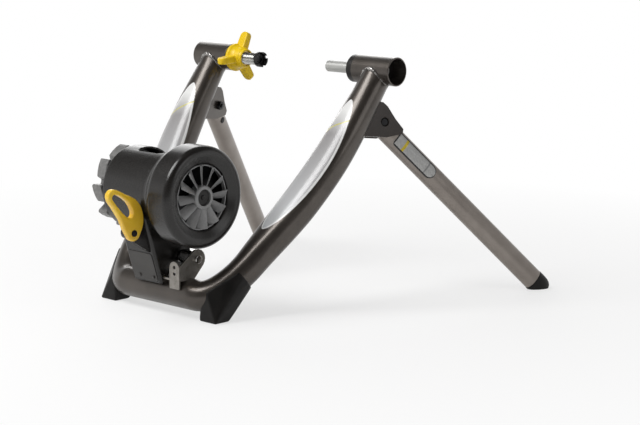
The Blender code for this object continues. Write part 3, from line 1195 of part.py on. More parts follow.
def make_fluid_unit(parent, rotor):
    unit_axis = along_x(ROLLER_Y, ROLLER_Z)
    inner_end = -CHEEK_X - 0.0030 - GAP - 0.0030
    housing = finish("fluid_housing", prism(fin_outline(), DRUM_LEFT_X, BARREL_LEFT_X - 0.0015, unit_axis),
                     "cast_grey")
    soft_edges(housing, 0.0012, 1, 50)
    neck = [(DRUM_LEFT_X + 0.004, 0), (DRUM_LEFT_X + 0.004, DRUM_RADIUS - 0.001),
            (inner_end, DRUM_RADIUS - 0.001), (inner_end, 0)]
    combine(housing, finish("drum", turned(neck, unit_axis, 32), "cast_grey"), "UNION")
    face = [(DRUM_LEFT_X - 0.0040, 0), (DRUM_LEFT_X - 0.0040, 0.0300), (DRUM_LEFT_X - 0.0020, 0.0420),
            (DRUM_LEFT_X + 0.002, 0.0460), (DRUM_LEFT_X + 0.002, 0)]
    combine(housing, finish("face", turned(face, unit_axis, 32), "cast_grey"), "UNION")
    wall = 0.0040
    cavity = [(DRUM_LEFT_X + wall, 0), (DRUM_LEFT_X + wall, DRUM_RADIUS - wall - 0.001),
              (inner_end + 0.01, DRUM_RADIUS - wall - 0.001), (inner_end + 0.01, 0)]
    combine(housing, finish("cavity", turned(cavity, unit_axis, 28), "cast_grey"))
    hang(housing, parent)
    smooth_again(housing)

    cover_low = inner_end - 0.0035
    cover = [(cover_low, 0.0120), (cover_low, DRUM_RADIUS - wall - 0.001 - GAP),
             (inner_end + GAP, DRUM_RADIUS - wall - 0.001 - GAP),
             (inner_end + GAP, DRUM_RADIUS - 0.001), (inner_end + 0.0030,
                                                      DRUM_RADIUS - 0.001), (inner_end + 0.0030, 0.0120)]
    finish("fluid_cover", turned(cover, unit_axis, 24), "cast_grey", parent)
    seal = pipe_shape(unit_axis, cover_low, inner_end + 0.0012, 0.0120 - GAP, SHAFT_RADIUS + GAP, 16)
    finish("shaft_seal", seal, "rubber", parent)

    left, right = IMPELLER_LEFT_X, IMPELLER_RIGHT_X
    disc = pipe_shape(unit_axis, left, left + 0.0040, IMPELLER_RADIUS, SHAFT_RADIUS + GAP, 16)
    impeller = finish("impeller", disc, "satin_steel")
    hub = pipe_shape(unit_axis, left + 0.0035, right, SHAFT_RADIUS * 2, SHAFT_RADIUS + GAP, 12)
    combine(impeller, finish("hub", hub, "satin_steel"), "UNION")
    for i in range(6):
        angle = 2 * math.pi * i / 6
        near, far, half = SHAFT_RADIUS + 0.0030, IMPELLER_RADIUS - 0.0005, VANE_THICK / 2
        outline = [(near, -half), (far, -half), (far, half), (near, half)]
        vane = prism(outline, left + 0.0035, right - 0.0040, unit_axis @ Matrix.Rotation(angle, 4, "Z"))
        combine(impeller, finish("vane", vane, "satin_steel"), "UNION")
    bore = rod_shape(unit_axis, left - 0.0100, right - 0.0020, SHAFT_RADIUS + GAP, steps=16)
    combine(impeller, finish("hole", bore, "satin_steel"))
    hang(impeller, rotor)
    smooth_again(impeller)


# Tension lever: a loop handle on a clevis
LOOP_OUTLINE = ((0.0170, 0.0059), (0.0196, 0.0150), (0.0194, 0.0261), (0.0156, 0.0390), (0.0051, 0.0522),
                (-0.0161, 0.0626), (-0.0320, 0.0705), (-0.0420, 0.0715), (-0.0490, 0.0650), (-0.0480, 0.0550),
                (-0.0400, 0.0440), (-0.0255, 0.0230), (-0.0190, 0.0080))
LOOP_BASE_RADIUS = 0.0125
LOOP_HOLE = ((-0.0365, 0.0640), (-0.0410, 0.0600), (-0.0385, 0.0540), (-0.0220, 0.0350), (-0.0090, 0.0245),
             (-0.0030, 0.0265), (-0.0020, 0.0345), (-0.0110, 0.0493), (-0.0260, 0.0600))


def make_tension_lever(parent):
    place = along_x(TENSION_Y, TENSION_Z)
    low, high = TENSION_X - TENSION_THICK, TENSION_X
    outline = rounded_through(LOOP_OUTLINE, 2, closed=False)
    outline += arc_points(0, 0, LOOP_BASE_RADIUS, 222, 335, 7)
    lever = finish("tension_lever", prism(outline, low, high, place), "yellow_plastic")
    combine(lever, finish("loop", prism(rounded_through(LOOP_HOLE, 2), low - 0.01, high + 0.01, place),
                          "yellow_plastic"))
    soft_edges(lever, 0.0016, 1, 50)
    combine(lever, finish("hole", rod_shape(place, low - 0.01, high + 0.01, TENSION_SCREW_RADIUS + GAP,
                                            steps=16), "yellow_plastic"))
    combine(lever, finish("recess", rod_shape(place, high - 0.0012, high + 0.01, 0.0055, steps=20),
                          "yellow_plastic"))
    hang(lever, parent)
    smooth_again(lever)
    start = LUG_LOW_X + 0.0004
    screw = [(start, 0), (start, TENSION_SCREW_RADIUS), (high - 0.0009, TENSION_SCREW_RADIUS),
             (high - 0.0009, 0.0050),
             (high + 0.0008, 0.0050), (high + 0.0014, 0.0042), (high + 0.0014, 0)]
    finish("tension_lever_screw", turned(screw, place, 16), "black_steel", parent)
    offset = Matrix.Translation((-PUSH_DIR.x * CAM_OFFSET, -PUSH_DIR.y * CAM_OFFSET, 0))
    cam = finish("tension_cam", rod_shape(place @ offset, LUG_LOW_X + 0.0029, low - GAP, CAM_RADIUS,
                                          steps=20), "satin_steel")
    combine(cam, finish("hole", rod_shape(place, low - 0.03, high + 0.01, TENSION_SCREW_RADIUS + GAP,
                                          steps=16), "satin_steel"))
    hang(cam, parent)
    smooth_again(cam)


def make_push_rod(parent):
    """Rod between the lever's cam and the tab of the saddle."""
    length = (Vector((PUSH_POINT_Y, PUSH_POINT_Z)) - Vector((TENSION_Y, TENSION_Z))).length
    start = CAM_RADIUS - CAM_OFFSET + GAP
    finish("push_rod", rod_shape(push_place(), start, length, PUSH_ROD_RADIUS, 0.0005, 12), "satin_steel",
           parent)


def centre_on_origin(origin):
    """Move the trainer so that the origin is under the middle of its outline, on the floor."""
    bpy.context.view_layer.update()
    low, high = Vector((1e9,) * 3), Vector((-1e9,) * 3)
    for piece in bpy.data.objects:
        if piece.type != "MESH":
            continue
        for vert in piece.data.vertices:
            place = piece.matrix_world @ vert.co
            low = Vector(map(min, low, place))
            high = Vector(map(max, high, place))
    origin.location -= Vector(((low.x + high.x) / 2, (low.y + high.y) / 2, low.z))
    bpy.context.view_layer.update()


def build():
    clear_scene()
    origin = pivot("trainer", (0, 0, 0), None)
    make_frame_tube(origin)
    for side in (-1, 1):
        make_clamp_tube(side, origin)
        make_foot(side, origin)
        make_hinge(side, origin)
        tag = "right" if side > 0 else "left"
        make_leg(side, pivot("leg_fold_" + tag, mirrored(HINGE, side), origin))
    rod_pivot = pivot("rod_slide", (LEVER_X, 0, AXLE_HEIGHT), origin)
    lever_pivot = pivot("clamp_lever_turn", (LEVER_X, 0, AXLE_HEIGHT), rod_pivot)
    make_rod_clamp(origin, rod_pivot, lever_pivot)
    cup_pivot = pivot("cup_slide", (-CLAMP_GAP_HALF, 0, AXLE_HEIGHT), origin)
    knob_pivot = pivot("jam_knob_turn", (KNOB_X, 0, AXLE_HEIGHT), origin)
    make_cup_clamp(origin, cup_pivot, knob_pivot)
    make_saddle(origin)
    unit_pivot = pivot("unit_swing", (0, SWING_Y, SWING_Z), origin)
    rotor_pivot = pivot("rotor_spin", (0, ROLLER_Y, ROLLER_Z), unit_pivot)
    tension_pivot = pivot("tension_lever_turn", (TENSION_X, TENSION_Y, TENSION_Z), unit_pivot)
    push_pivot = pivot("push_rod_slide", (PUSH_ROD_X, TENSION_Y, TENSION_Z), unit_pivot)
    make_yoke(unit_pivot)
    make_shroud_left(unit_pivot)
    make_shroud_right(unit_pivot)
    make_fluid_unit(unit_pivot, rotor_pivot)
    make_rotor(rotor_pivot)
    make_rear_cover(unit_pivot)
    make_tension_lever(tension_pivot)
    make_push_rod(push_pivot)
    centre_on_origin(origin)


build()
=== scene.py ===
"""Looks of the folding fluid trainer: painted bent frame, finned resistance unit, yellow knob and levers.

Metres, +Z up. Every piece is made where the frame's parts are, so nothing is fitted afterwards.
"""
import json
import math

import bpy
from mathutils import Matrix, Vector

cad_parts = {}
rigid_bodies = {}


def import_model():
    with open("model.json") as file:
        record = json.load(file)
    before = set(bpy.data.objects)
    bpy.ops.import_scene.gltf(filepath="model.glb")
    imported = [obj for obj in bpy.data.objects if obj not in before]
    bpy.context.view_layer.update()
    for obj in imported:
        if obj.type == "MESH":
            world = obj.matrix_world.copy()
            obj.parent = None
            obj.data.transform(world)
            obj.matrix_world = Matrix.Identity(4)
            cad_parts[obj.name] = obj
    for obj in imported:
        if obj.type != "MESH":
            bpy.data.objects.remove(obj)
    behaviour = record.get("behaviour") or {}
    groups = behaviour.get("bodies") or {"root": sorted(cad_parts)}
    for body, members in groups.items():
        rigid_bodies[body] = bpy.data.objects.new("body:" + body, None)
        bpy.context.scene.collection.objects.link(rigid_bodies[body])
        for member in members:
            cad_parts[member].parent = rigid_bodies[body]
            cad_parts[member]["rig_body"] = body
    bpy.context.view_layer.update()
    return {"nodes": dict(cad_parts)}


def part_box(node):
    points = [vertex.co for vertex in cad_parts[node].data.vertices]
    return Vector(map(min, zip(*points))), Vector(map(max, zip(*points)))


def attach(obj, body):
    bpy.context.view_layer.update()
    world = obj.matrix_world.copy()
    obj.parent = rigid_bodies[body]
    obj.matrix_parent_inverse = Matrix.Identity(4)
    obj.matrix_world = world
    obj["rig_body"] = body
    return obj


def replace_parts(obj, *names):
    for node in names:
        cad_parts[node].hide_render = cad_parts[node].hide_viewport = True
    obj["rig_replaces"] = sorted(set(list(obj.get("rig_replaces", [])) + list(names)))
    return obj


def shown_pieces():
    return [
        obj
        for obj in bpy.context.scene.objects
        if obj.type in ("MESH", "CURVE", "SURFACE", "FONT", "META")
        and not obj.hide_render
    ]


for leftover in list(bpy.data.objects):
    bpy.data.objects.remove(leftover)
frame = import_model()

# Main sizes of the trainer, as its parts have them
CLAMP_INNER_X = 0.1466                          # inner end of the right clamp tube
clamp_low, clamp_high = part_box("clamp_tube_right")
CLAMP_RADIUS = (clamp_high.z - clamp_low.z) / 2
AXLE = Vector((clamp_low.x - CLAMP_INNER_X, (clamp_low.y + clamp_high.y) / 2, clamp_low.z + CLAMP_RADIUS))
CROSS_Y, CROSS_Z = AXLE.y - 0.297, 0.035        # cross tube
UNIT_Y, UNIT_Z = AXLE.y - 0.300, 0.191          # roller axis
TUBE_RADIUS, WALL = 0.0225, 0.0018
OVAL_WIDE, OVAL_DEEP = 0.0298, 0.0225           # uprights' half width and half depth where pressed oval
END_PRESS = 0.0026                              # how much flatter the uprights end, for a blunt joint
HINGE = Vector((0.1969, AXLE.y - 0.0110, 0.2880))
LEG_END = Vector((0.3318, AXLE.y + 0.2456, 0.0))


# Working on one piece at a time
def only(piece):
    """Leave object mode with this piece alone selected and active."""
    if bpy.context.mode != "OBJECT":
        bpy.ops.object.mode_set(mode="OBJECT")
    bpy.ops.object.select_all(action="DESELECT")
    piece.select_set(True)
    bpy.context.view_layer.objects.active = piece


def editing(piece, mode="VERT"):
    """Edit one piece with nothing selected in it."""
    only(piece)
    bpy.ops.object.mode_set(mode="EDIT")
    bpy.ops.mesh.select_mode(type=mode)
    bpy.ops.mesh.select_all(action="DESELECT")


def done():
    """Back to object mode."""
    bpy.ops.object.mode_set(mode="OBJECT")


def pick_edges(piece, wanted):
    """Edit the piece with those edges selected whose two ends pass the test."""
    editing(piece, "EDGE")
    done()
    for edge in piece.data.edges:
        a, b = (piece.data.vertices[k].co for k in edge.vertices)
        edge.select = bool(wanted(a, b))
    bpy.ops.object.mode_set(mode="EDIT")


def empty_piece(name):
    piece = bpy.data.objects.new(name, bpy.data.meshes.new(name))
    bpy.context.scene.collection.objects.link(piece)
    return piece


def apply(piece, kind, **settings):
    """Add a modifier, set it and apply it at once."""
    only(piece)
    step = piece.modifiers.new(kind.lower(), kind)
    for key, value in settings.items():
        setattr(step, key, value)
    bpy.ops.object.modifier_apply(modifier=step.name)
    return piece


def settle(piece):
    """Put the piece's place into its mesh."""
    only(piece)
    bpy.ops.object.transform_apply(location=True, rotation=True, scale=True)
    return piece


def smooth(piece, degrees=38):
    """Smooth shading that keeps real edges, with the flat faces left flat."""
    only(piece)
    bpy.ops.object.shade_smooth_by_angle(angle=math.radians(degrees))
    return apply(piece, "WEIGHTED_NORMAL", keep_sharp=True, weight=60)


def outward(piece):
    """Join doubled points and turn every face outward."""
    editing(piece)
    bpy.ops.mesh.select_all(action="SELECT")
    bpy.ops.mesh.remove_doubles(threshold=2e-6)
    bpy.ops.mesh.normals_make_consistent(inside=False)
    done()
    return piece


def round_edges(piece, width, steps, degrees=40):
    return apply(piece, "BEVEL", width=width, segments=steps, limit_method="ANGLE",
                 angle_limit=math.radians(degrees), use_clamp_overlap=True)


def moulded(piece, voxel, passes):
    """Melt a piece's corners as a mould does: even skin, then relaxed."""
    apply(piece, "REMESH", mode="VOXEL", voxel_size=voxel)
    apply(piece, "SMOOTH", factor=0.5, iterations=passes)
    only(piece)
    bpy.ops.object.shade_smooth()
    return piece


def traced(part, name):
    """Copy of a part's mesh with its loose triangles merged into whole faces."""
    piece = bpy.data.objects.new(name, frame["nodes"][part].data.copy())
    bpy.context.scene.collection.objects.link(piece)
    only(piece)
    if piece.data.has_custom_normals:
        bpy.ops.mesh.customdata_custom_splitnormals_clear()
    editing(piece)
    bpy.ops.mesh.select_all(action="SELECT")
    bpy.ops.mesh.remove_doubles(threshold=1e-5)
    bpy.ops.mesh.dissolve_limited(angle_limit=math.radians(0.6), delimit=set())
    done()
    return piece


def fitted(piece, material, part, replaces=True):
    """Give a piece its finish, its body and the part that it stands for."""
    piece.data.materials.clear()
    piece.data.materials.append(material)
    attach(piece, frame["nodes"][part]["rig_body"])
    if replaces:
        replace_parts(piece, part)
    return piece


SLOT_OF = {name: part.data.materials[0].name for name, part in frame["nodes"].items()}


def turned(name, outline, centre, steps, closed=False):
    """Lathe a profile of (along, radius) points about the sideways axis through centre."""
    along = Vector((1, 0, 0))
    side = along.orthogonal().normalized()
    piece = empty_piece(name)
    points = [Vector(centre) + along * a + side * r for a, r in outline]
    count = len(points)
    pairs = [(i, i + 1) for i in range(count - 1)]
    if closed:
        pairs.append((count - 1, 0))
    piece.data.from_pydata(points, pairs, [])
    editing(piece)
    bpy.ops.mesh.select_all(action="SELECT")
    bpy.ops.mesh.spin(steps=steps, angle=2 * math.pi, center=Vector(centre), axis=along)
    done()
    return outward(piece)


# Finishes
def new_material(name):
    made = bpy.data.materials.new(name)
    made.use_nodes = True
    tree = made.node_tree
    tree.nodes.clear()
    output = tree.nodes.new("ShaderNodeOutputMaterial")
    shader = tree.nodes.new("ShaderNodeBsdfPrincipled")
    tree.links.new(shader.outputs["BSDF"], output.inputs["Surface"])
    return made, tree, shader


def node(tree, kind, values=(), **settings):
    made = tree.nodes.new("ShaderNode" + kind)
    for key, value in settings.items():
        setattr(made, key, value)
    for key, value in dict(values).items():
        if isinstance(value, bpy.types.NodeSocket):
            tree.links.new(value, made.inputs[key])
        else:
            made.inputs[key].default_value = value
    return made


def maths(tree, operation, *values, clamp=False):
    made = node(tree, "Math", operation=operation, use_clamp=clamp)
    for i, value in enumerate(values):
        if isinstance(value, bpy.types.NodeSocket):
            tree.links.new(value, made.inputs[i])
        else:
            made.inputs[i].default_value = value
    return made.outputs[0]


def spread(tree, value, low, high, to_low=0.0, to_high=1.0):
    return node(tree, "MapRange", {"Value": value, "From Min": low, "From Max": high,
                                   "To Min": to_low, "To Max": to_high}).outputs[0]


def blended(tree, share, first, second):
    mixer = node(tree, "Mix", data_type="RGBA")
    for slot, value in ((0, share), (6, first), (7, second)):
        if isinstance(value, bpy.types.NodeSocket):
            tree.links.new(value, mixer.inputs[slot])
        elif slot == 0:
            mixer.inputs[slot].default_value = value
        else:
            mixer.inputs[slot].default_value = (*value, 1.0)
    return mixer.outputs[2]


def noise(tree, scale, detail=3.0, stretch=None):
    where = node(tree, "TexCoord").outputs["Object"]
    if stretch:
        where = node(tree, "Mapping", {"Vector": where, "Scale": stretch}).outputs[0]
    return node(tree, "TexNoise", {"Vector": where, "Scale": scale, "Detail": detail}).outputs[0]


def surface(name, dark, light, rough, metal=0.0, mottle=60.0, grain=900.0, depth=0.00006, coat=0.0,
            stretch=None, coat_rough=0.15, specular=0.5):
    """Finish with slow colour drift, uneven gloss and a fine grain."""
    made, tree, shader = new_material(name)
    drift = noise(tree, mottle, 4.0, stretch)
    fine = noise(tree, grain, 2.0, stretch)
    tree.links.new(blended(tree, spread(tree, drift, 0.32, 0.68), dark, light), shader.inputs["Base Color"])
    tree.links.new(spread(tree, fine, 0.25, 0.75, rough * 0.85, rough * 1.15), shader.inputs["Roughness"])
    shader.inputs["Metallic"].default_value = metal
    shader.inputs["Coat Weight"].default_value = coat
    shader.inputs["Coat Roughness"].default_value = coat_rough
    shader.inputs["Specular IOR Level"].default_value = specular
    bump = node(tree, "Bump", {"Height": fine, "Strength": 0.35, "Distance": depth})
    tree.links.new(bump.outputs[0], shader.inputs["Normal"])
    return made


# Name, darkest and lightest colour, roughness, metal, scales of drift and grain, grain depth, coat
FINISHES = {
    "graphite_paint": surface("warm graphite paint", (0.068, 0.058, 0.050), (0.088, 0.076, 0.066), 0.31,
                              0.70, 35, 2200, 0.00003, 0.35, coat_rough=0.18),
    # Legs: the frame's graphite paint made lighter, painted light for legs that catch more of the lamps
    "leg_paint": surface("warm graphite paint lightened on the legs as painted light", (0.225, 0.197, 0.175), (0.265, 0.235, 0.210),
                         0.33, 0.80, 35, 2200, 0.00003, 0.25, coat_rough=0.20),
    "dark_plastic": surface("black moulded nylon", (0.0070, 0.0062, 0.0055), (0.0120, 0.0108, 0.0098), 0.36,
                            0, 50, 1500, 0.00008, specular=0.32),
    "shell_plastic": surface("black textured shell", (0.0068, 0.0057, 0.0048), (0.0105, 0.0090, 0.0078),
                             0.27, 0, 45, 1300, 0.00006, specular=0.50),
    # Rear cover: the black shell plastic painted lighter, a painted sheen on its lit flat face
    "cover_plastic": surface("black textured cover with painted sheen", (0.0260, 0.0235, 0.0210),
                             (0.0350, 0.0325, 0.0295), 0.36, 0, 45, 1300, 0.00009, specular=0.45),
    "brown_cover": surface("brown black hinge cover", (0.0165, 0.0103, 0.0070), (0.0235, 0.0152, 0.0108),
                           0.31, 0, 45, 1300, 0.00008, specular=0.48),
    "rubber": surface("black rubber", (0.0050, 0.0044, 0.0039), (0.0086, 0.0076, 0.0068), 0.42, 0, 70, 1100,
                      0.00010, specular=0.24),
    "yellow_plastic": surface("yellow glass-filled nylon", (0.74, 0.49, 0.003), (0.84, 0.58, 0.005), 0.34, 0,
                              40, 1200, 0.00005, 0.0, specular=0.35),
    "lever_yellow": surface("amber yellow nylon", (0.85, 0.50, 0.022), (0.92, 0.60, 0.045), 0.27, 0, 40, 1200,
                            0.00005, 0.20),
    "zinc_plate": surface("bright zinc plate", (0.46, 0.45, 0.435), (0.58, 0.57, 0.555), 0.18, 1.0, 120, 900,
                          0.00004),
    # Saddle: the zinc plate painted darker, painted shade for the dark reflections on its cheeks
    "dull_zinc": surface("zinc plate with painted shade", (0.22, 0.205, 0.185), (0.31, 0.29, 0.265), 0.30, 0.75, 90,
                         900, 0.00005),
    "bolt_chrome": surface("bright plated bolt", (0.56, 0.56, 0.54), (0.66, 0.66, 0.64), 0.17, 1.0, 120, 900,
                           0.00003),
    "satin_steel": surface("satin turned steel", (0.42, 0.42, 0.41), (0.50, 0.50, 0.48), 0.44, 0.85, 80, 700,
                           0.00003, stretch=(0.05, 1.0, 1.0)),
    "cast_grey": surface("cast aluminium", (0.17, 0.168, 0.165), (0.25, 0.247, 0.242), 0.42, 0.55, 180, 800,
                         0.00016),
    "fan_grey": surface("grey turbine nylon", (0.200, 0.200, 0.201), (0.245, 0.245, 0.246), 0.28, 0, 50, 1200,
                        0.00005),
    "black_steel": surface("blackened steel", (0.012, 0.012, 0.013), (0.022, 0.022, 0.023), 0.32, 0.6, 90,
                           900, 0.00004, specular=0.35),
    "brass": surface("turned brass", (0.52, 0.36, 0.13), (0.64, 0.46, 0.18), 0.30, 1.0, 80, 700, 0.00003),
    # Weld: dark paint with light spots scattered at random as painted highlights
    "weld": surface("weld bead under paint with painted highlight spots", (0.060, 0.052, 0.046), (0.40, 0.385, 0.37), 0.22, 0.80, 230, 900,
                    0.00012, 0.4),
}


PANEL_START, PANEL_LENGTH = 0.046, 0.249        # from the bend's end up the upright
LEAF_WIDTH, LEAF_POINT = 0.83, 0.54             # share of the tube's half width, sharpness of its ends
BORDER_WIDTH = 0.13
LINE_LOW, LINE_HIGH, LINE_SLANT = 0.800, 0.814, 0.09


def leaf_paint():
    """Frame paint with a silver leaf on each upright's rear face, crossed by one thin yellow line."""
    made = FINISHES["graphite_paint"].copy()
    made.name = "graphite paint with silver panels"
    tree = made.node_tree
    shader = next(n for n in tree.nodes if n.type == "BSDF_PRINCIPLED")
    paint = shader.inputs["Base Color"].links[0].from_socket
    where = node(tree, "Attribute", attribute_name="tube_map").outputs["Vector"]
    parts = node(tree, "SeparateXYZ", {"Vector": where}).outputs
    around, facing = parts[0], parts[1]
    share = spread(tree, parts[2], PANEL_START, PANEL_START + PANEL_LENGTH)
    middle = maths(tree, "ABSOLUTE", maths(tree, "MULTIPLY_ADD", share, 2.0, -1.0))
    leaf = maths(tree, "POWER", maths(tree, "SUBTRACT", 1.0, maths(tree, "POWER", middle, 2.0), clamp=True),
                 LEAF_POINT)
    off_middle = maths(tree, "ABSOLUTE", around)
    edge = maths(tree, "SUBTRACT", maths(tree, "MULTIPLY", leaf, LEAF_WIDTH), off_middle)
    inside = maths(tree, "MULTIPLY", spread(tree, edge, 0.0, 0.02), spread(tree, facing, 0.02, 0.06))
    border = spread(tree, edge, BORDER_WIDTH, BORDER_WIDTH - 0.03)
    tip = spread(tree, share, 0.74, 0.92)
    silver = blended(tree, spread(tree, share, 0.05, 0.75), (0.50, 0.51, 0.52), (0.30, 0.29, 0.29))
    silver = blended(tree, tip, silver, (0.78, 0.78, 0.77))
    lean = maths(tree, "MULTIPLY_ADD", around, LINE_SLANT, share)
    band = maths(tree, "MULTIPLY", spread(tree, lean, LINE_LOW, LINE_LOW + 0.004),
                 spread(tree, lean, LINE_HIGH, LINE_HIGH - 0.004))
    silver = blended(tree, maths(tree, "MULTIPLY", border, 0.85), silver, (0.80, 0.80, 0.79))
    silver = blended(tree, band, silver, (0.60, 0.56, 0.10))
    tree.links.new(blended(tree, inside, paint, silver), shader.inputs["Base Color"])
    metal = maths(tree, "MULTIPLY", maths(tree, "SUBTRACT", 1.0, inside), 0.70)
    tree.links.new(metal, shader.inputs["Metallic"])
    return made


def paint_cup_shade(made, start):
    """Paint shade on a plated part beyond a place on the axle, where it lies inside the cup's hollow."""
    tree = made.node_tree
    shader = next(n for n in tree.nodes if n.type == "BSDF_PRINCIPLED")
    plated = shader.inputs["Base Color"].links[0].from_socket
    along = node(tree, "SeparateXYZ", {0: node(tree, "TexCoord").outputs["Object"]}).outputs[0]
    # Painted shade: near-black beyond the start, for the dark inside the cup
    beyond = spread(tree, along, start, start + 0.0004)
    tree.links.new(blended(tree, beyond, plated, (0.012, 0.012, 0.012)), shader.inputs["Base Color"])


CUP_FLOOR_X = -0.0900
FINISHES["panel_paint"] = leaf_paint()
# The cup bolt's tip inside the skewer cup gets painted shade
paint_cup_shade(FINISHES["bolt_chrome"], CUP_FLOOR_X)


# Frame tube: one U bent from a tube, its uprights pressed oval
SLOPE = Vector((0.0, AXLE.y - CROSS_Y, AXLE.z - CROSS_Z))
SLOPE_UP = SLOPE.normalized()
REARWARD = Vector((0.0, -SLOPE_UP.z, SLOPE_UP.y))
CORNER = Vector((0.1584, CROSS_Y, CROSS_Z))
TOP = Vector((0.1896, AXLE.y, AXLE.z))
UPRIGHT = (TOP - CORNER).normalized()
BEND_TURN = math.acos(UPRIGHT.x)
BEND_RADIUS = 0.0885
BEND_REACH = BEND_RADIUS * math.tan(BEND_TURN / 2)
BOW_FORWARD, BOW_INWARD, BOW_WAVE = 0.0191, 0.0227, 0.0154    # how far each upright bows off a straight line
CROSS_STEPS, BEND_STEPS, UPRIGHT_STEPS = 4, 18, 30
TUBE_SIDES = 44
PANEL_SHIFT = 0.08                              # the panel's middle lies a little inward


def eased(value, start, end):
    """Share of the way from start to end, slow at both ends."""
    t = min(max((value - start) / (end - start), 0.0), 1.0)
    return t * t * (3 - 2 * t)


def rise(point):
    """Share of the way from the cross tube up to the axle."""
    return (point - Vector((0, CROSS_Y, CROSS_Z))).dot(SLOPE_UP) / SLOPE.length


def tube_centre(part, share):
    """Point on the right half of the bent tube's centre line."""
    if part == "cross":
        return Vector(((CORNER.x - BEND_REACH) * share, CROSS_Y, CROSS_Z))
    if part == "bend":
        angle = BEND_TURN * share
        middle = CORNER - Vector((BEND_REACH, 0, 0)) + SLOPE_UP * BEND_RADIUS
        centre = middle + (Vector((1, 0, 0)) * math.sin(angle) - SLOPE_UP * math.cos(angle)) * BEND_RADIUS
    else:
        centre = (CORNER + UPRIGHT * BEND_REACH).lerp(TOP, share)
    up = min(max(rise(centre), 0.0), 1.0) ** 0.6
    centre -= REARWARD * BOW_FORWARD * math.sin(math.pi * up)
    centre.x -= BOW_INWARD * math.sin(math.pi * up) + BOW_WAVE * math.sin(2 * math.pi * up)
    return centre


def tube_stations():
    """Centre, tangent and size of every section from the left clamp to the right one."""
    half = [("cross", i / CROSS_STEPS) for i in range(CROSS_STEPS)]
    half += [("bend", i / BEND_STEPS) for i in range(BEND_STEPS)]
    half += [("upright", i / UPRIGHT_STEPS) for i in range(UPRIGHT_STEPS + 1)]
    stations = []
    for part, share in half:
        centre = tube_centre(part, share)
        ahead = tube_centre(part, share + 0.01) - tube_centre(part, max(share - 0.01, 0.0))
        oval = eased(rise(centre), 0.11, 0.45) * (1 - eased(rise(centre), 0.58, 1.0))
        stations.append((centre, ahead.normalized(), oval))
    left = [(Vector((-c.x, c.y, c.z)), Vector((t.x, -t.y, -t.z)), o) for c, t, o in reversed(stations[1:])]
    return left + stations


def frame_tube(stations):
    """Bridge the sections, press them oval and cope both ends onto the clamp tubes."""
    piece = empty_piece("painted_frame_tube")
    editing(piece)
    sizes = []
    for centre, ahead, oval in stations:
        wide = REARWARD.cross(ahead).normalized()
        half_w = TUBE_RADIUS + (OVAL_WIDE - TUBE_RADIUS) * oval
        half_d = TUBE_RADIUS + (OVAL_DEEP - TUBE_RADIUS) * oval - END_PRESS * eased(rise(centre), 0.72, 1.0)
        turn = Matrix((wide, REARWARD, wide.cross(REARWARD))).transposed()
        bpy.ops.mesh.primitive_circle_add(vertices=TUBE_SIDES, radius=half_w, location=centre,
                                          rotation=turn.to_euler())
        sizes.append((wide, half_w, half_d))
    bpy.ops.mesh.select_all(action="SELECT")
    bpy.ops.mesh.bridge_edge_loops()
    done()
    marks = piece.data.attributes.new("tube_map", "FLOAT_VECTOR", "POINT")
    start = CORNER + UPRIGHT * BEND_REACH
    for i, (centre, _, oval) in enumerate(stations):
        wide, half_w, half_d = sizes[i]
        side = 1 if centre.x > 0 else -1
        here = Vector((abs(centre.x), centre.y, centre.z))
        full = 2 / (2.0 + 0.6 * oval)
        for k in range(i * TUBE_SIDES, (i + 1) * TUBE_SIDES):
            offset = piece.data.vertices[k].co - centre
            across, deep = offset.dot(wide) / half_w, offset.dot(REARWARD) / half_w
            marks.data[k].vector = (side * (across - PANEL_SHIFT), deep, (here - start).dot(UPRIGHT))
            piece.data.vertices[k].co = (centre + wide * math.copysign(abs(across) ** full, across) * half_w
                                         + REARWARD * math.copysign(abs(deep) ** full, deep) * half_d)
    for way, ring in end_rings(stations):
        for k in ring:
            point = piece.data.vertices[k]
            point.co = onto_clamp(point.co, way, CLAMP_RADIUS - 0.0008)
    return piece


def end_rings(stations):
    """Direction and point numbers of the tube's two open ends, left and right."""
    last = (len(stations) - 1) * TUBE_SIDES
    return [(Vector((side * UPRIGHT.x, UPRIGHT.y, UPRIGHT.z)), range(first, first + TUBE_SIDES))
            for side, first in ((-1, 0), (1, last))]


def onto_clamp(point, way, radius):
    """Slide a point along the upright until it lies on the clamp tube's skin, seen from below."""
    flat = Vector((0, way.y, way.z))
    start = Vector((0, point.y - AXLE.y, point.z - AXLE.z))
    a, b, c = flat.dot(flat), 2 * flat.dot(start), start.dot(start) - radius ** 2
    root = b * b - 4 * a * c
    shift = (-b - math.sqrt(max(root, 0.0))) / (2 * a)
    return point + way * shift


sections = tube_stations()
tube = frame_tube(sections)
weld_paths = [[onto_clamp(tube.data.vertices[k].co, way, CLAMP_RADIUS + 0.0003) for k in ring]
              for way, ring in end_rings(sections)]
outward(tube)
apply(tube, "SOLIDIFY", thickness=WALL, offset=-1.0, use_rim=True)
DEEPEST = CLAMP_RADIUS - 0.0009                 # the tube's ends stop inside the clamp tube's wall
for point in tube.data.vertices:
    off_axle = Vector((0, point.co.y - AXLE.y, point.co.z - AXLE.z))
    if off_axle.length < DEEPEST:
        point.co += off_axle.normalized() * (DEEPEST - off_axle.length)
smooth(tube, 40)
fitted(tube, FINISHES["panel_paint"], "frame_tube")


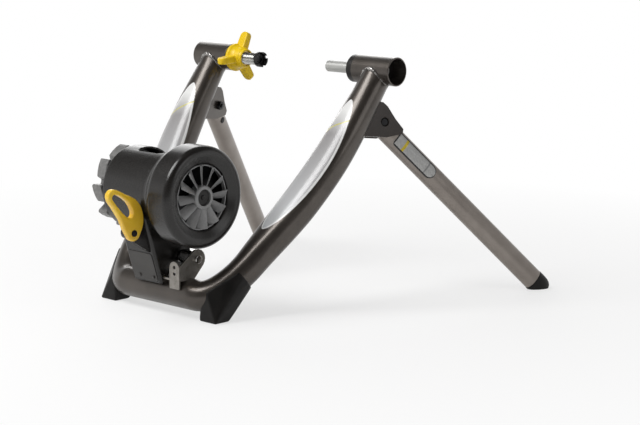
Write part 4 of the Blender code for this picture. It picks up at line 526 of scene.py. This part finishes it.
def bead(name, ring, size):
    """Weld bead along a closed line, thick where the pass ends at the rear, with its ripples."""
    line = bpy.data.curves.new(name, "CURVE")
    line.dimensions = "3D"
    spline = line.splines.new("POLY")
    dense = []
    for a, b in zip(ring, ring[1:] + ring[:1]):
        dense += [a, a.lerp(b, 0.33), a.lerp(b, 0.67)]
    spline.points.add(len(dense) - 1)
    crown = max(place.dot(REARWARD) for place in dense)
    outer = max(abs(place.x) for place in dense)
    for i, (point, place) in enumerate(zip(spline.points, dense)):
        point.co = (*place, 1.0)
        near_crown = eased(place.dot(REARWARD), crown - 0.0070, crown - 0.0005)
        near_outer = eased(abs(place.x), outer - 0.0045, outer - 0.0005)
        point.radius = (0.50 + 0.62 * near_crown + 0.30 * near_outer
                        + 0.09 * math.sin(i * 2.1) + 0.07 * math.sin(i * 0.37))
    spline.use_cyclic_u = True
    line.bevel_depth = size
    line.bevel_resolution = 3
    piece = bpy.data.objects.new(name, line)
    bpy.context.scene.collection.objects.link(piece)
    only(piece)
    bpy.ops.object.convert(target="MESH")
    piece = bpy.context.view_layer.objects.active
    bpy.ops.object.shade_smooth()
    return piece


BEAD_RADIUS = 0.0034
for tag, ring in zip(("left", "right"), weld_paths):
    fitted(bead("weld_bead_" + tag, ring, BEAD_RADIUS), FINISHES["weld"], "clamp_tube_" + tag, replaces=False)


# Pieces traced from their parts, with rounded edges: part, name, edge width, steps, finish
TRACED = (
    ("clamp_tube_left", "painted_clamp_tube_left", 0.0005, 2, "graphite_paint"),
    ("clamp_tube_right", "painted_clamp_tube_right", 0.0004, 2, "graphite_paint"),
    ("hinge_bracket_left", "welded_hinge_bracket_left", 0.0005, 2, "graphite_paint"),
    ("hinge_bracket_right", "welded_hinge_bracket_right", 0.0005, 2, "graphite_paint"),
    ("hinge_bolt_left", "hinge_bolt_head_left", 0.0004, 2, "black_steel"),
    ("hinge_bolt_right", "hinge_bolt_head_right", 0.0004, 2, "black_steel"),
    ("hinge_nut_left", "hinge_lock_nut_left", 0.0005, 2, "black_steel"),
    ("hinge_nut_right", "hinge_lock_nut_right", 0.0005, 2, "black_steel"),
    ("rod_bush", "rod_end_bush", 0.0004, 2, "dark_plastic"),
    ("clamp_rod", "satin_clamp_rod", 0.0004, 2, "satin_steel"),
    ("lever_stem", "plated_lever_stem", 0.0003, 2, "zinc_plate"),
    ("skewer_cup", "notched_skewer_cup", 0.0004, 2, "dark_plastic"),
    # The saddle takes the zinc plate with painted shade
    ("unit_saddle", "plated_saddle", 0.0006, 2, "dull_zinc"),
    ("saddle_bolt_left", "saddle_bolt_head_left", 0.0004, 2, "black_steel"),
    ("saddle_bolt_right", "saddle_bolt_head_right", 0.0004, 2, "black_steel"),
    ("swing_pin", "plated_swing_pin", 0.0004, 2, "zinc_plate"),
    ("unit_yoke", "plated_unit_yoke", 0.0004, 2, "zinc_plate"),
    ("shroud_body", "moulded_shroud_body", 0.0007, 2, "shell_plastic"),
    ("shroud_rear_cover", "moulded_rear_cover", 0.0005, 2, "cover_plastic"),
    # The cover's screws share its painted sheen
    ("rear_cover_screw_left", "rear_cover_screw_head_left", 0.0003, 2, "cover_plastic"),
    ("rear_cover_screw_right", "rear_cover_screw_head_right", 0.0003, 2, "cover_plastic"),
    ("fluid_housing", "cast_fluid_housing", 0.0008, 3, "cast_grey"),
    ("fan_hub_cap", "domed_fan_cap", 0.0004, 2, "dark_plastic"),
    ("turbine_fan", "moulded_turbine_fan", 0.0002, 1, "fan_grey"),
    ("rotor_shaft", "ground_rotor_shaft", 0.0003, 2, "satin_steel"),
    ("roller", "turned_roller", 0.0005, 2, "satin_steel"),
    ("tension_lever_screw", "tension_lever_screw_head", 0.0003, 2, "black_steel"),
    ("leg_bumper_left", "rubber_leg_bumper_left", 0.0004, 2, "rubber"),
    ("leg_bumper_right", "rubber_leg_bumper_right", 0.0004, 2, "rubber"),
)
for part, name, width, steps, finish_name in TRACED:
    piece = smooth(round_edges(traced(part, name), width, steps))
    fitted(piece, FINISHES[finish_name], part)

# Pieces whose corners melt into each other: part, name, voxel, passes, finish
MOULDED = (
    ("base_foot_left", "rubber_base_foot_left", 0.0011, 18, "rubber"),
    ("base_foot_right", "rubber_base_foot_right", 0.0011, 18, "rubber"),
    ("hinge_cover_left", "moulded_hinge_cover_left", 0.0006, 6, "brown_cover"),
    ("hinge_cover_right", "moulded_hinge_cover_right", 0.0006, 6, "brown_cover"),
    ("clamp_lever_grip", "moulded_lever_grip", 0.0005, 6, "lever_yellow"),
    ("tension_lever", "moulded_tension_lever", 0.0005, 5, "lever_yellow"),
)
for part, name, voxel, passes, finish_name in MOULDED:
    piece = moulded(traced(part, name), voxel, passes)
    fitted(piece, FINISHES[finish_name], part)


# Fan housing: soft concave shoulder up to the ring, rolled lip and a shallow dish
def fan_housing():
    """Lathe the housing from the barrel's end to the lip round the fan."""
    start, front, ring, throat, wall = 0.0348, 0.1060, 0.0795, 0.0517, 0.0026
    outside = [(0.0323, 0.0130), (0.0323, 0.0190), (start, 0.0190), (start, 0.0658)]
    for i in range(1, 15):
        share = i / 14
        outside.append((start + 0.0310 * share, 0.0660 + (ring - 0.0660) * eased(share, 0.12, 0.96)))
    lip = 0.0112
    for i in range(0, 11):
        turn = math.radians(90 - 90 * i / 10)
        outside.append((front - lip + lip * math.cos(turn), ring - lip + lip * math.sin(turn)))
    outside += [(front - 0.0004, ring - lip - 0.0028), (front - 0.0016, ring - lip - 0.0058),
                (front - 0.0034, throat + 0.0072), (front - 0.0052, throat + 0.0036),
                (front - 0.0064, throat + 0.0012), (front - 0.0074, throat + 0.0002),
                (front - 0.0086, throat), (front - 0.0200, throat)]
    inside = [(front - 0.0200, throat + wall), (front - 0.0095, throat + wall),
              (front - 0.0070, throat + 0.0080), (front - 0.0035, ring - lip - 0.0030),
              (front - 0.0058, ring - 0.0063), (front - lip, ring - wall), (start + 0.0310, ring - wall),
              (start + 0.0190, 0.0695), (start + 0.0110, 0.0649), (start + wall, 0.0634),
              (start + wall, 0.0130)]
    return turned("moulded_fan_housing", outside + inside, (0, UNIT_Y, UNIT_Z), steps=128, closed=True)


fitted(smooth(fan_housing(), 50), FINISHES["shell_plastic"], "shroud_fan_housing")


# Threaded cup bolt: plain core with a rolled thread between knob and cup
def cup_bolt():
    start, end, tip_end = -0.2081, -0.0895, -0.0855
    crest, root, tip, pitch = 0.0100, 0.0088, 0.0060, 0.00175
    outline = [(start, 0.0), (start, 0.0086)]
    at = start + 0.001
    while at < end - pitch:
        outline += [(at, root), (at + pitch * 0.42, crest), (at + pitch * 0.58, crest)]
        at += pitch
    outline += [(end, root), (end, tip), (tip_end, tip), (tip_end, 0.0)]
    return turned("threaded_cup_bolt", outline, AXLE, steps=40)


fitted(smooth(cup_bolt(), 30), FINISHES["bolt_chrome"], "cup_bolt")


# Winged knob: round plate and hub with three blunt wings, moulded in one
WING_ANGLES = (65.0, 185.0, 305.0)
WING_MIDDLE = 0.0108                            # from the knob's plate along the axle
WING_ROOT, WING_SIZE = 0.0284, (0.0198, 0.0138, 0.0358)
WING_TIP = 0.030                                # beyond this height the wing tapers


def winged_knob():
    """Join hub and wings and melt them into one moulding."""
    low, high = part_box("jam_knob")
    start, end, bore = low.x, high.x + 0.0045, 0.0123
    outline = [(start, bore), (start, 0.0220), (start + 0.0016, 0.0236), (start + 0.0054, 0.0236),
               (start + 0.0068, 0.0228), (start + 0.0084, 0.0212), (start + 0.0112, 0.0196),
               (start + 0.0150, 0.0182), (end - 0.0058, 0.0170), (end - 0.0048, 0.0158),
               (end - 0.0010, 0.0152), (end, 0.0143), (end, bore)]
    piece = turned("moulded_jam_knob", outline, (0, AXLE.y, AXLE.z), steps=72, closed=True)
    parts = [piece]
    for degrees in WING_ANGLES:
        bpy.ops.mesh.primitive_cube_add(size=1.0, location=(start + WING_MIDDLE, 0, WING_ROOT),
                                        scale=WING_SIZE)
        wing = settle(bpy.context.view_layer.objects.active)
        for point in wing.data.vertices:
            if point.co.z > WING_TIP:
                point.co.y *= 0.80
                point.co.x = start + WING_MIDDLE + (point.co.x - start - WING_MIDDLE) * 0.88
        pick_edges(wing, lambda a, b: min(a.z, b.z) > WING_TIP and abs(a.y - b.y) > 0.005)
        bpy.ops.mesh.bevel(offset=0.0078, segments=8)
        done()
        round_edges(wing, 0.0024, 4)
        place = Matrix.Translation((0, AXLE.y, AXLE.z)) @ Matrix.Rotation(math.radians(degrees - 90), 4, "X")
        wing.data.transform(place)
        parts.append(wing)
    only(piece)
    for part in parts:
        part.select_set(True)
    bpy.ops.object.join()
    return moulded(piece, 0.00045, 16)


fitted(winged_knob(), FINISHES["yellow_plastic"], "jam_knob")


# Legs: flat oval tube, round at the hinge and open at the foot, with a pressed-in cap
LEG_WAY = (LEG_END - HINGE).normalized()
BOLT_WAY = LEG_WAY.cross(-UPRIGHT).normalized()
if BOLT_WAY.x < 0:
    BOLT_WAY = -BOLT_WAY
ACROSS = BOLT_WAY.cross(LEG_WAY).normalized()
LEG_HALF_WIDE, LEG_HALF_DEEP, LEG_POWER = 0.0180, 0.0125, 2.15
LEG_LENGTH = (HINGE.z - LEG_HALF_WIDE * abs(ACROSS.z) - 0.0030) / abs(LEG_WAY.z)


def leg_frame(side):
    """Local X across the leg, local Y along its bolt and local Z down its length."""
    place = Matrix((ACROSS, BOLT_WAY, LEG_WAY)).transposed().to_4x4()
    place.translation = HINGE
    return place if side > 0 else Matrix.Diagonal((-1, 1, 1, 1)) @ place


def into_place(piece, place):
    """Move a finished mesh from the bench to its place on the trainer."""
    piece.data.transform(place)
    if place.determinant() < 0:
        piece.data.flip_normals()
    return piece


def oval_loft(name, rings, closed_ends, count=48):
    """Bridge flat-oval rings (along, share of the width, share of the depth) on the bench."""
    piece = empty_piece(name)
    editing(piece)
    for along, _, _ in rings:
        bpy.ops.mesh.primitive_circle_add(vertices=count, radius=LEG_HALF_WIDE, location=(0, 0, along))
    bpy.ops.mesh.select_all(action="SELECT")
    bpy.ops.mesh.bridge_edge_loops()
    for first in closed_ends:
        bpy.ops.mesh.select_all(action="DESELECT")
        done()
        for k in range(first * count, (first + 1) * count):
            piece.data.vertices[k].select = True
        bpy.ops.object.mode_set(mode="EDIT")
        bpy.ops.mesh.select_mode(type="VERT")
        bpy.ops.mesh.edge_face_add()
    done()
    for i, (_, wide, deep) in enumerate(rings):
        for k in range(i * count, (i + 1) * count):
            point = piece.data.vertices[k].co
            x, y = point.x / LEG_HALF_WIDE, point.y / LEG_HALF_WIDE
            point.x = math.copysign(abs(x) ** (2 / LEG_POWER), x) * LEG_HALF_WIDE * wide
            point.y = math.copysign(abs(y) ** (2 / LEG_POWER), y) * LEG_HALF_DEEP * deep
    return outward(piece)


def leg(side, tag):
    """Tube with a half-round top end, open at the foot."""
    rings = [(-LEG_HALF_WIDE * math.cos(math.radians(a)), math.sin(math.radians(a)), 1.0)
             for a in (8, 18, 30, 42, 54, 66, 78)]
    rings += [(0.0, 1.0, 1.0), (0.10, 1.0, 1.0), (0.25, 1.0, 1.0), (LEG_LENGTH - 0.0006, 1.0, 1.0),
              (LEG_LENGTH, 0.975, 0.965)]
    piece = oval_loft("painted_leg_" + tag, rings, (0,))
    apply(piece, "SOLIDIFY", thickness=WALL, offset=-1.0, use_rim=True)
    into_place(piece, leg_frame(side))
    return smooth(piece, 40)


def leg_cap(side, tag):
    """Cap with a plug in the tube, a skirt flush with it and a domed toe cut flat by the floor."""
    rings = [(-0.022, 0.84, 0.78), (-0.021, 0.87, 0.81), (0.0001, 0.87, 0.81), (0.0003, 1.02, 1.03),
             (0.0080, 1.03, 1.04), (0.0150, 1.02, 1.03), (0.0205, 0.98, 0.99), (0.0245, 0.90, 0.92),
             (0.0275, 0.78, 0.80), (0.0295, 0.60, 0.62), (0.0305, 0.36, 0.40)]
    rings = [(LEG_LENGTH + along, wide, deep) for along, wide, deep in rings]
    piece = oval_loft("rubber_leg_cap_" + tag, rings, (0, len(rings) - 1))
    into_place(piece, leg_frame(side))
    editing(piece, "FACE")
    bpy.ops.mesh.select_all(action="SELECT")
    bpy.ops.mesh.bisect(plane_co=(0, 0, 0.0002), plane_no=(0, 0, 1), use_fill=True, clear_inner=True)
    done()
    outward(piece)
    round_edges(piece, 0.0007, 3, 35)
    return smooth(piece, 50)


for side, tag in ((-1, "left"), (1, "right")):
    fitted(leg(side, tag), FINISHES["leg_paint"], "leg_" + tag)
    fitted(leg_cap(side, tag), FINISHES["rubber"], "leg_foot_" + tag)


# Silver plate on the outer face of each leg, with a dark edge and two plain stripes
def plate_material():
    """Brushed silver, drawn on the plate's own map: across and along, each from -1 to 1."""
    made, tree, shader = new_material("silver plate with dark edge")
    where = node(tree, "UVMap", uv_map="plate").outputs[0]
    parts = node(tree, "SeparateXYZ", {"Vector": where}).outputs
    across, along = parts[0], parts[1]
    far = maths(tree, "MULTIPLY", maths(tree, "SUBTRACT", along, 0.76, clamp=True), 3.67)
    reach = maths(tree, "SQRT", maths(tree, "ADD", maths(tree, "POWER", maths(tree, "ABSOLUTE", across), 2.0),
                                      maths(tree, "POWER", far, 2.0)))
    dark_edge = maths(tree, "MAXIMUM", spread(tree, reach, 0.80, 0.83), spread(tree, along, -0.945, -0.955))
    stripe = maths(tree, "MULTIPLY", spread(tree, along, -0.62, -0.61), spread(tree, along, -0.50, -0.51))
    stripe_two = maths(tree, "MULTIPLY", spread(tree, along, 0.56, 0.57), spread(tree, along, 0.63, 0.62))
    brushed = noise(tree, 900, 2.0, (1.0, 1.0, 0.05))
    silver = blended(tree, spread(tree, brushed, 0.3, 0.7), (0.34, 0.34, 0.335), (0.44, 0.44, 0.43))
    silver = blended(tree, stripe, silver, (0.55, 0.42, 0.03))
    silver = blended(tree, stripe_two, silver, (0.22, 0.22, 0.22))
    tree.links.new(blended(tree, dark_edge, silver, (0.02, 0.02, 0.02)), shader.inputs["Base Color"])
    tree.links.new(spread(tree, brushed, 0.3, 0.7, 0.28, 0.40), shader.inputs["Roughness"])
    shader.inputs["Metallic"].default_value = 0.35
    return made


def leg_plate(side, tag):
    """Thin plate laid on the leg's rounded face, square near the hinge and round at its far end."""
    centre, half_long, half_wide, thick = 0.0815, 0.0455, 0.0124, 0.0005
    bpy.ops.mesh.primitive_cube_add(size=1.0, location=(0, 0, centre),
                                    scale=(half_wide * 2, thick, half_long * 2))
    piece = settle(bpy.context.view_layer.objects.active)
    piece.name = "leg_plate_" + tag
    for far, radius in ((False, 0.0050), (True, 0.0112)):
        pick_edges(piece, lambda a, b: abs(a.y - b.y) > thick / 2 and (a.z > centre) == far
                   and abs(abs(a.x) - half_wide) < 1e-5 and abs(abs(a.z - centre) - half_long) < 1e-5)
        bpy.ops.mesh.bevel(offset=radius, segments=8)
        done()
    editing(piece, "FACE")
    for step in range(-5, 6):
        bpy.ops.mesh.select_all(action="SELECT")
        bpy.ops.mesh.bisect(plane_co=(half_wide * step / 6, 0, 0), plane_no=(1, 0, 0))
    done()
    layer = piece.data.uv_layers.active or piece.data.uv_layers.new(name="plate")
    layer.name = "plate"
    for loop in piece.data.loops:
        point = piece.data.vertices[loop.vertex_index].co
        layer.data[loop.index].uv = (point.x / half_wide, (point.z - centre) / half_long)
    for point in piece.data.vertices:
        skin = LEG_HALF_DEEP * (1 - abs(point.co.x / LEG_HALF_WIDE) ** LEG_POWER) ** (1 / LEG_POWER)
        point.co.y += skin + thick / 2 - 0.0001
    into_place(piece, leg_frame(side))
    return smooth(piece, 30)


FINISHES["leg_plate"] = plate_material()
for side, tag in ((-1, "left"), (1, "right")):
    fitted(leg_plate(side, tag), FINISHES["leg_plate"], "leg_" + tag, replaces=False)

# Parts inside keep their own shape and get a worked finish
shown = set()
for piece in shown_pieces():
    shown.update(piece.get("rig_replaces", []))
for name, part in frame["nodes"].items():
    if name not in shown:
        part.data.materials[0] = FINISHES[SLOT_OF[name]]


# Floor, light and camera
def background_rays(tree):
    """Share of rays that see the pale room itself: the camera's, and those in metal and glass."""
    paths = tree.nodes.new("ShaderNodeLightPath")
    seen = maths(tree, "ADD", paths.outputs["Is Camera Ray"], paths.outputs["Is Glossy Ray"], clamp=True)
    return maths(tree, "ADD", seen, paths.outputs["Is Transmission Ray"], clamp=True)


FLOOR_WHITE_FROM, FLOOR_WHITE_AT = 0.42, 1.25   # metres from the middle: shadow kept inside, white outside
AMBIENT = 0.30


def studio_floor():
    """Pale matt floor that keeps the shadow and turns into plain white farther out."""
    bpy.ops.mesh.primitive_plane_add(size=14.0, location=(0, 0, -0.0004))
    floor = bpy.context.view_layer.objects.active
    floor.name = "studio_floor"
    made, tree, shader = new_material("white studio floor")
    shader.inputs["Base Color"].default_value = (0.88, 0.88, 0.88, 1)
    shader.inputs["Roughness"].default_value = 0.9
    shader.inputs["Specular IOR Level"].default_value = 0.2
    away = node(tree, "VectorMath", {0: node(tree, "TexCoord").outputs["Object"]},
                operation="LENGTH").outputs["Value"]
    clear = maths(tree, "MULTIPLY", background_rays(tree),
                  spread(tree, away, FLOOR_WHITE_FROM, FLOOR_WHITE_AT, 0.62, 1.0))
    glossy = tree.nodes.new("ShaderNodeLightPath").outputs["Is Glossy Ray"]
    near = maths(tree, "MULTIPLY", spread(tree, away, 0.25, 0.80, 0.55, 0.0), glossy)
    clear = maths(tree, "MULTIPLY", clear, maths(tree, "SUBTRACT", 1.0, near))
    white = node(tree, "Emission", {"Color": (1, 1, 1, 1), "Strength": 1.0})
    both = node(tree, "MixShader", {0: clear, 1: shader.outputs[0], 2: white.outputs[0]})
    output = next(n for n in tree.nodes if n.type == "OUTPUT_MATERIAL")
    tree.links.new(both.outputs[0], output.inputs["Surface"])
    floor.data.materials.append(made)


def studio_room():
    """Soft even room; polished parts see a white wall, a dim ceiling and a dimmer side by the camera."""
    world = bpy.data.worlds.new("studio")
    bpy.context.scene.world = world
    world.use_nodes = True
    tree = world.node_tree
    tree.nodes.clear()
    output = tree.nodes.new("ShaderNodeOutputWorld")
    room = node(tree, "Background", {"Color": (1.0, 0.99, 0.98, 1), "Strength": AMBIENT})
    way = node(tree, "TexCoord").outputs["Generated"]
    height = node(tree, "SeparateXYZ", {0: way}).outputs[2]
    ceiling = spread(tree, height, 0.24, 0.56, 1.0, 0.12)
    facing = node(tree, "VectorMath", {0: way, 1: (0.69, -0.72, 0.0)}, operation="DOT_PRODUCT")
    dim_side = spread(tree, facing.outputs["Value"], -0.15, 0.80, 1.0, 0.16)
    glossy = tree.nodes.new("ShaderNodeLightPath").outputs["Is Glossy Ray"]
    dim = maths(tree, "MULTIPLY", maths(tree, "SUBTRACT", 1.0, dim_side), glossy)
    level = maths(tree, "MULTIPLY", ceiling, maths(tree, "SUBTRACT", 1.0, dim))
    white = node(tree, "Background", {"Color": (1, 1, 1, 1), "Strength": level})
    both = node(tree, "MixShader", {0: background_rays(tree), 1: room.outputs[0], 2: white.outputs[0]})
    tree.links.new(both.outputs[0], output.inputs["Surface"])


LAMPS = (                                       # name, place from the target, size in metres, watts
    ("overhead", (-0.65, -1.50, 2.00), 1.3, 50),
    ("left_side", (-1.85, 1.35, 1.10), 1.5, 15),
    ("right_fill", (2.28, 0.19, 1.16), 1.2, 6),
)


def lamp(name, place, aim, size, power):
    """Square soft light turned to its aim."""
    light = bpy.data.lights.new(name, "AREA")
    light.shape, light.size, light.energy = "SQUARE", size, power
    thing = bpy.data.objects.new(name, light)
    bpy.context.scene.collection.objects.link(thing)
    thing.location = place
    thing.rotation_euler = (Vector(aim) - Vector(place)).to_track_quat("-Z", "Y").to_euler()


PICTURE_WIDTH, SENSOR_WIDTH = 640, 36           # pixels, mm


def camera():
    """Where the photographer stood: behind the trainer, to the right and low."""
    focal, azimuth, height, away = 1850.0, math.radians(44.034), math.radians(10.010), 3.0711
    target = Vector((0.0573, AXLE.y, 0.1247))
    back = Vector((math.sin(azimuth) * math.cos(height), -math.cos(azimuth) * math.cos(height),
                   math.sin(height)))
    right = Vector((math.cos(azimuth), math.sin(azimuth), 0))
    place = Matrix((right, back.cross(right), back)).transposed().to_4x4()
    place.translation = target + back * away
    eye = bpy.data.objects.new("camera", bpy.data.cameras.new("camera"))
    bpy.context.scene.collection.objects.link(eye)
    eye.matrix_world = place
    eye.data.sensor_width = SENSOR_WIDTH
    eye.data.lens = focal * SENSOR_WIDTH / PICTURE_WIDTH
    bpy.context.scene.camera = eye
    return target


only(tube)
target = camera()
studio_floor()
studio_room()
for name, offset, size, power in LAMPS:
    lamp(name, target + Vector(offset), target, size, power)
bpy.context.scene.view_settings.view_transform = "Standard"
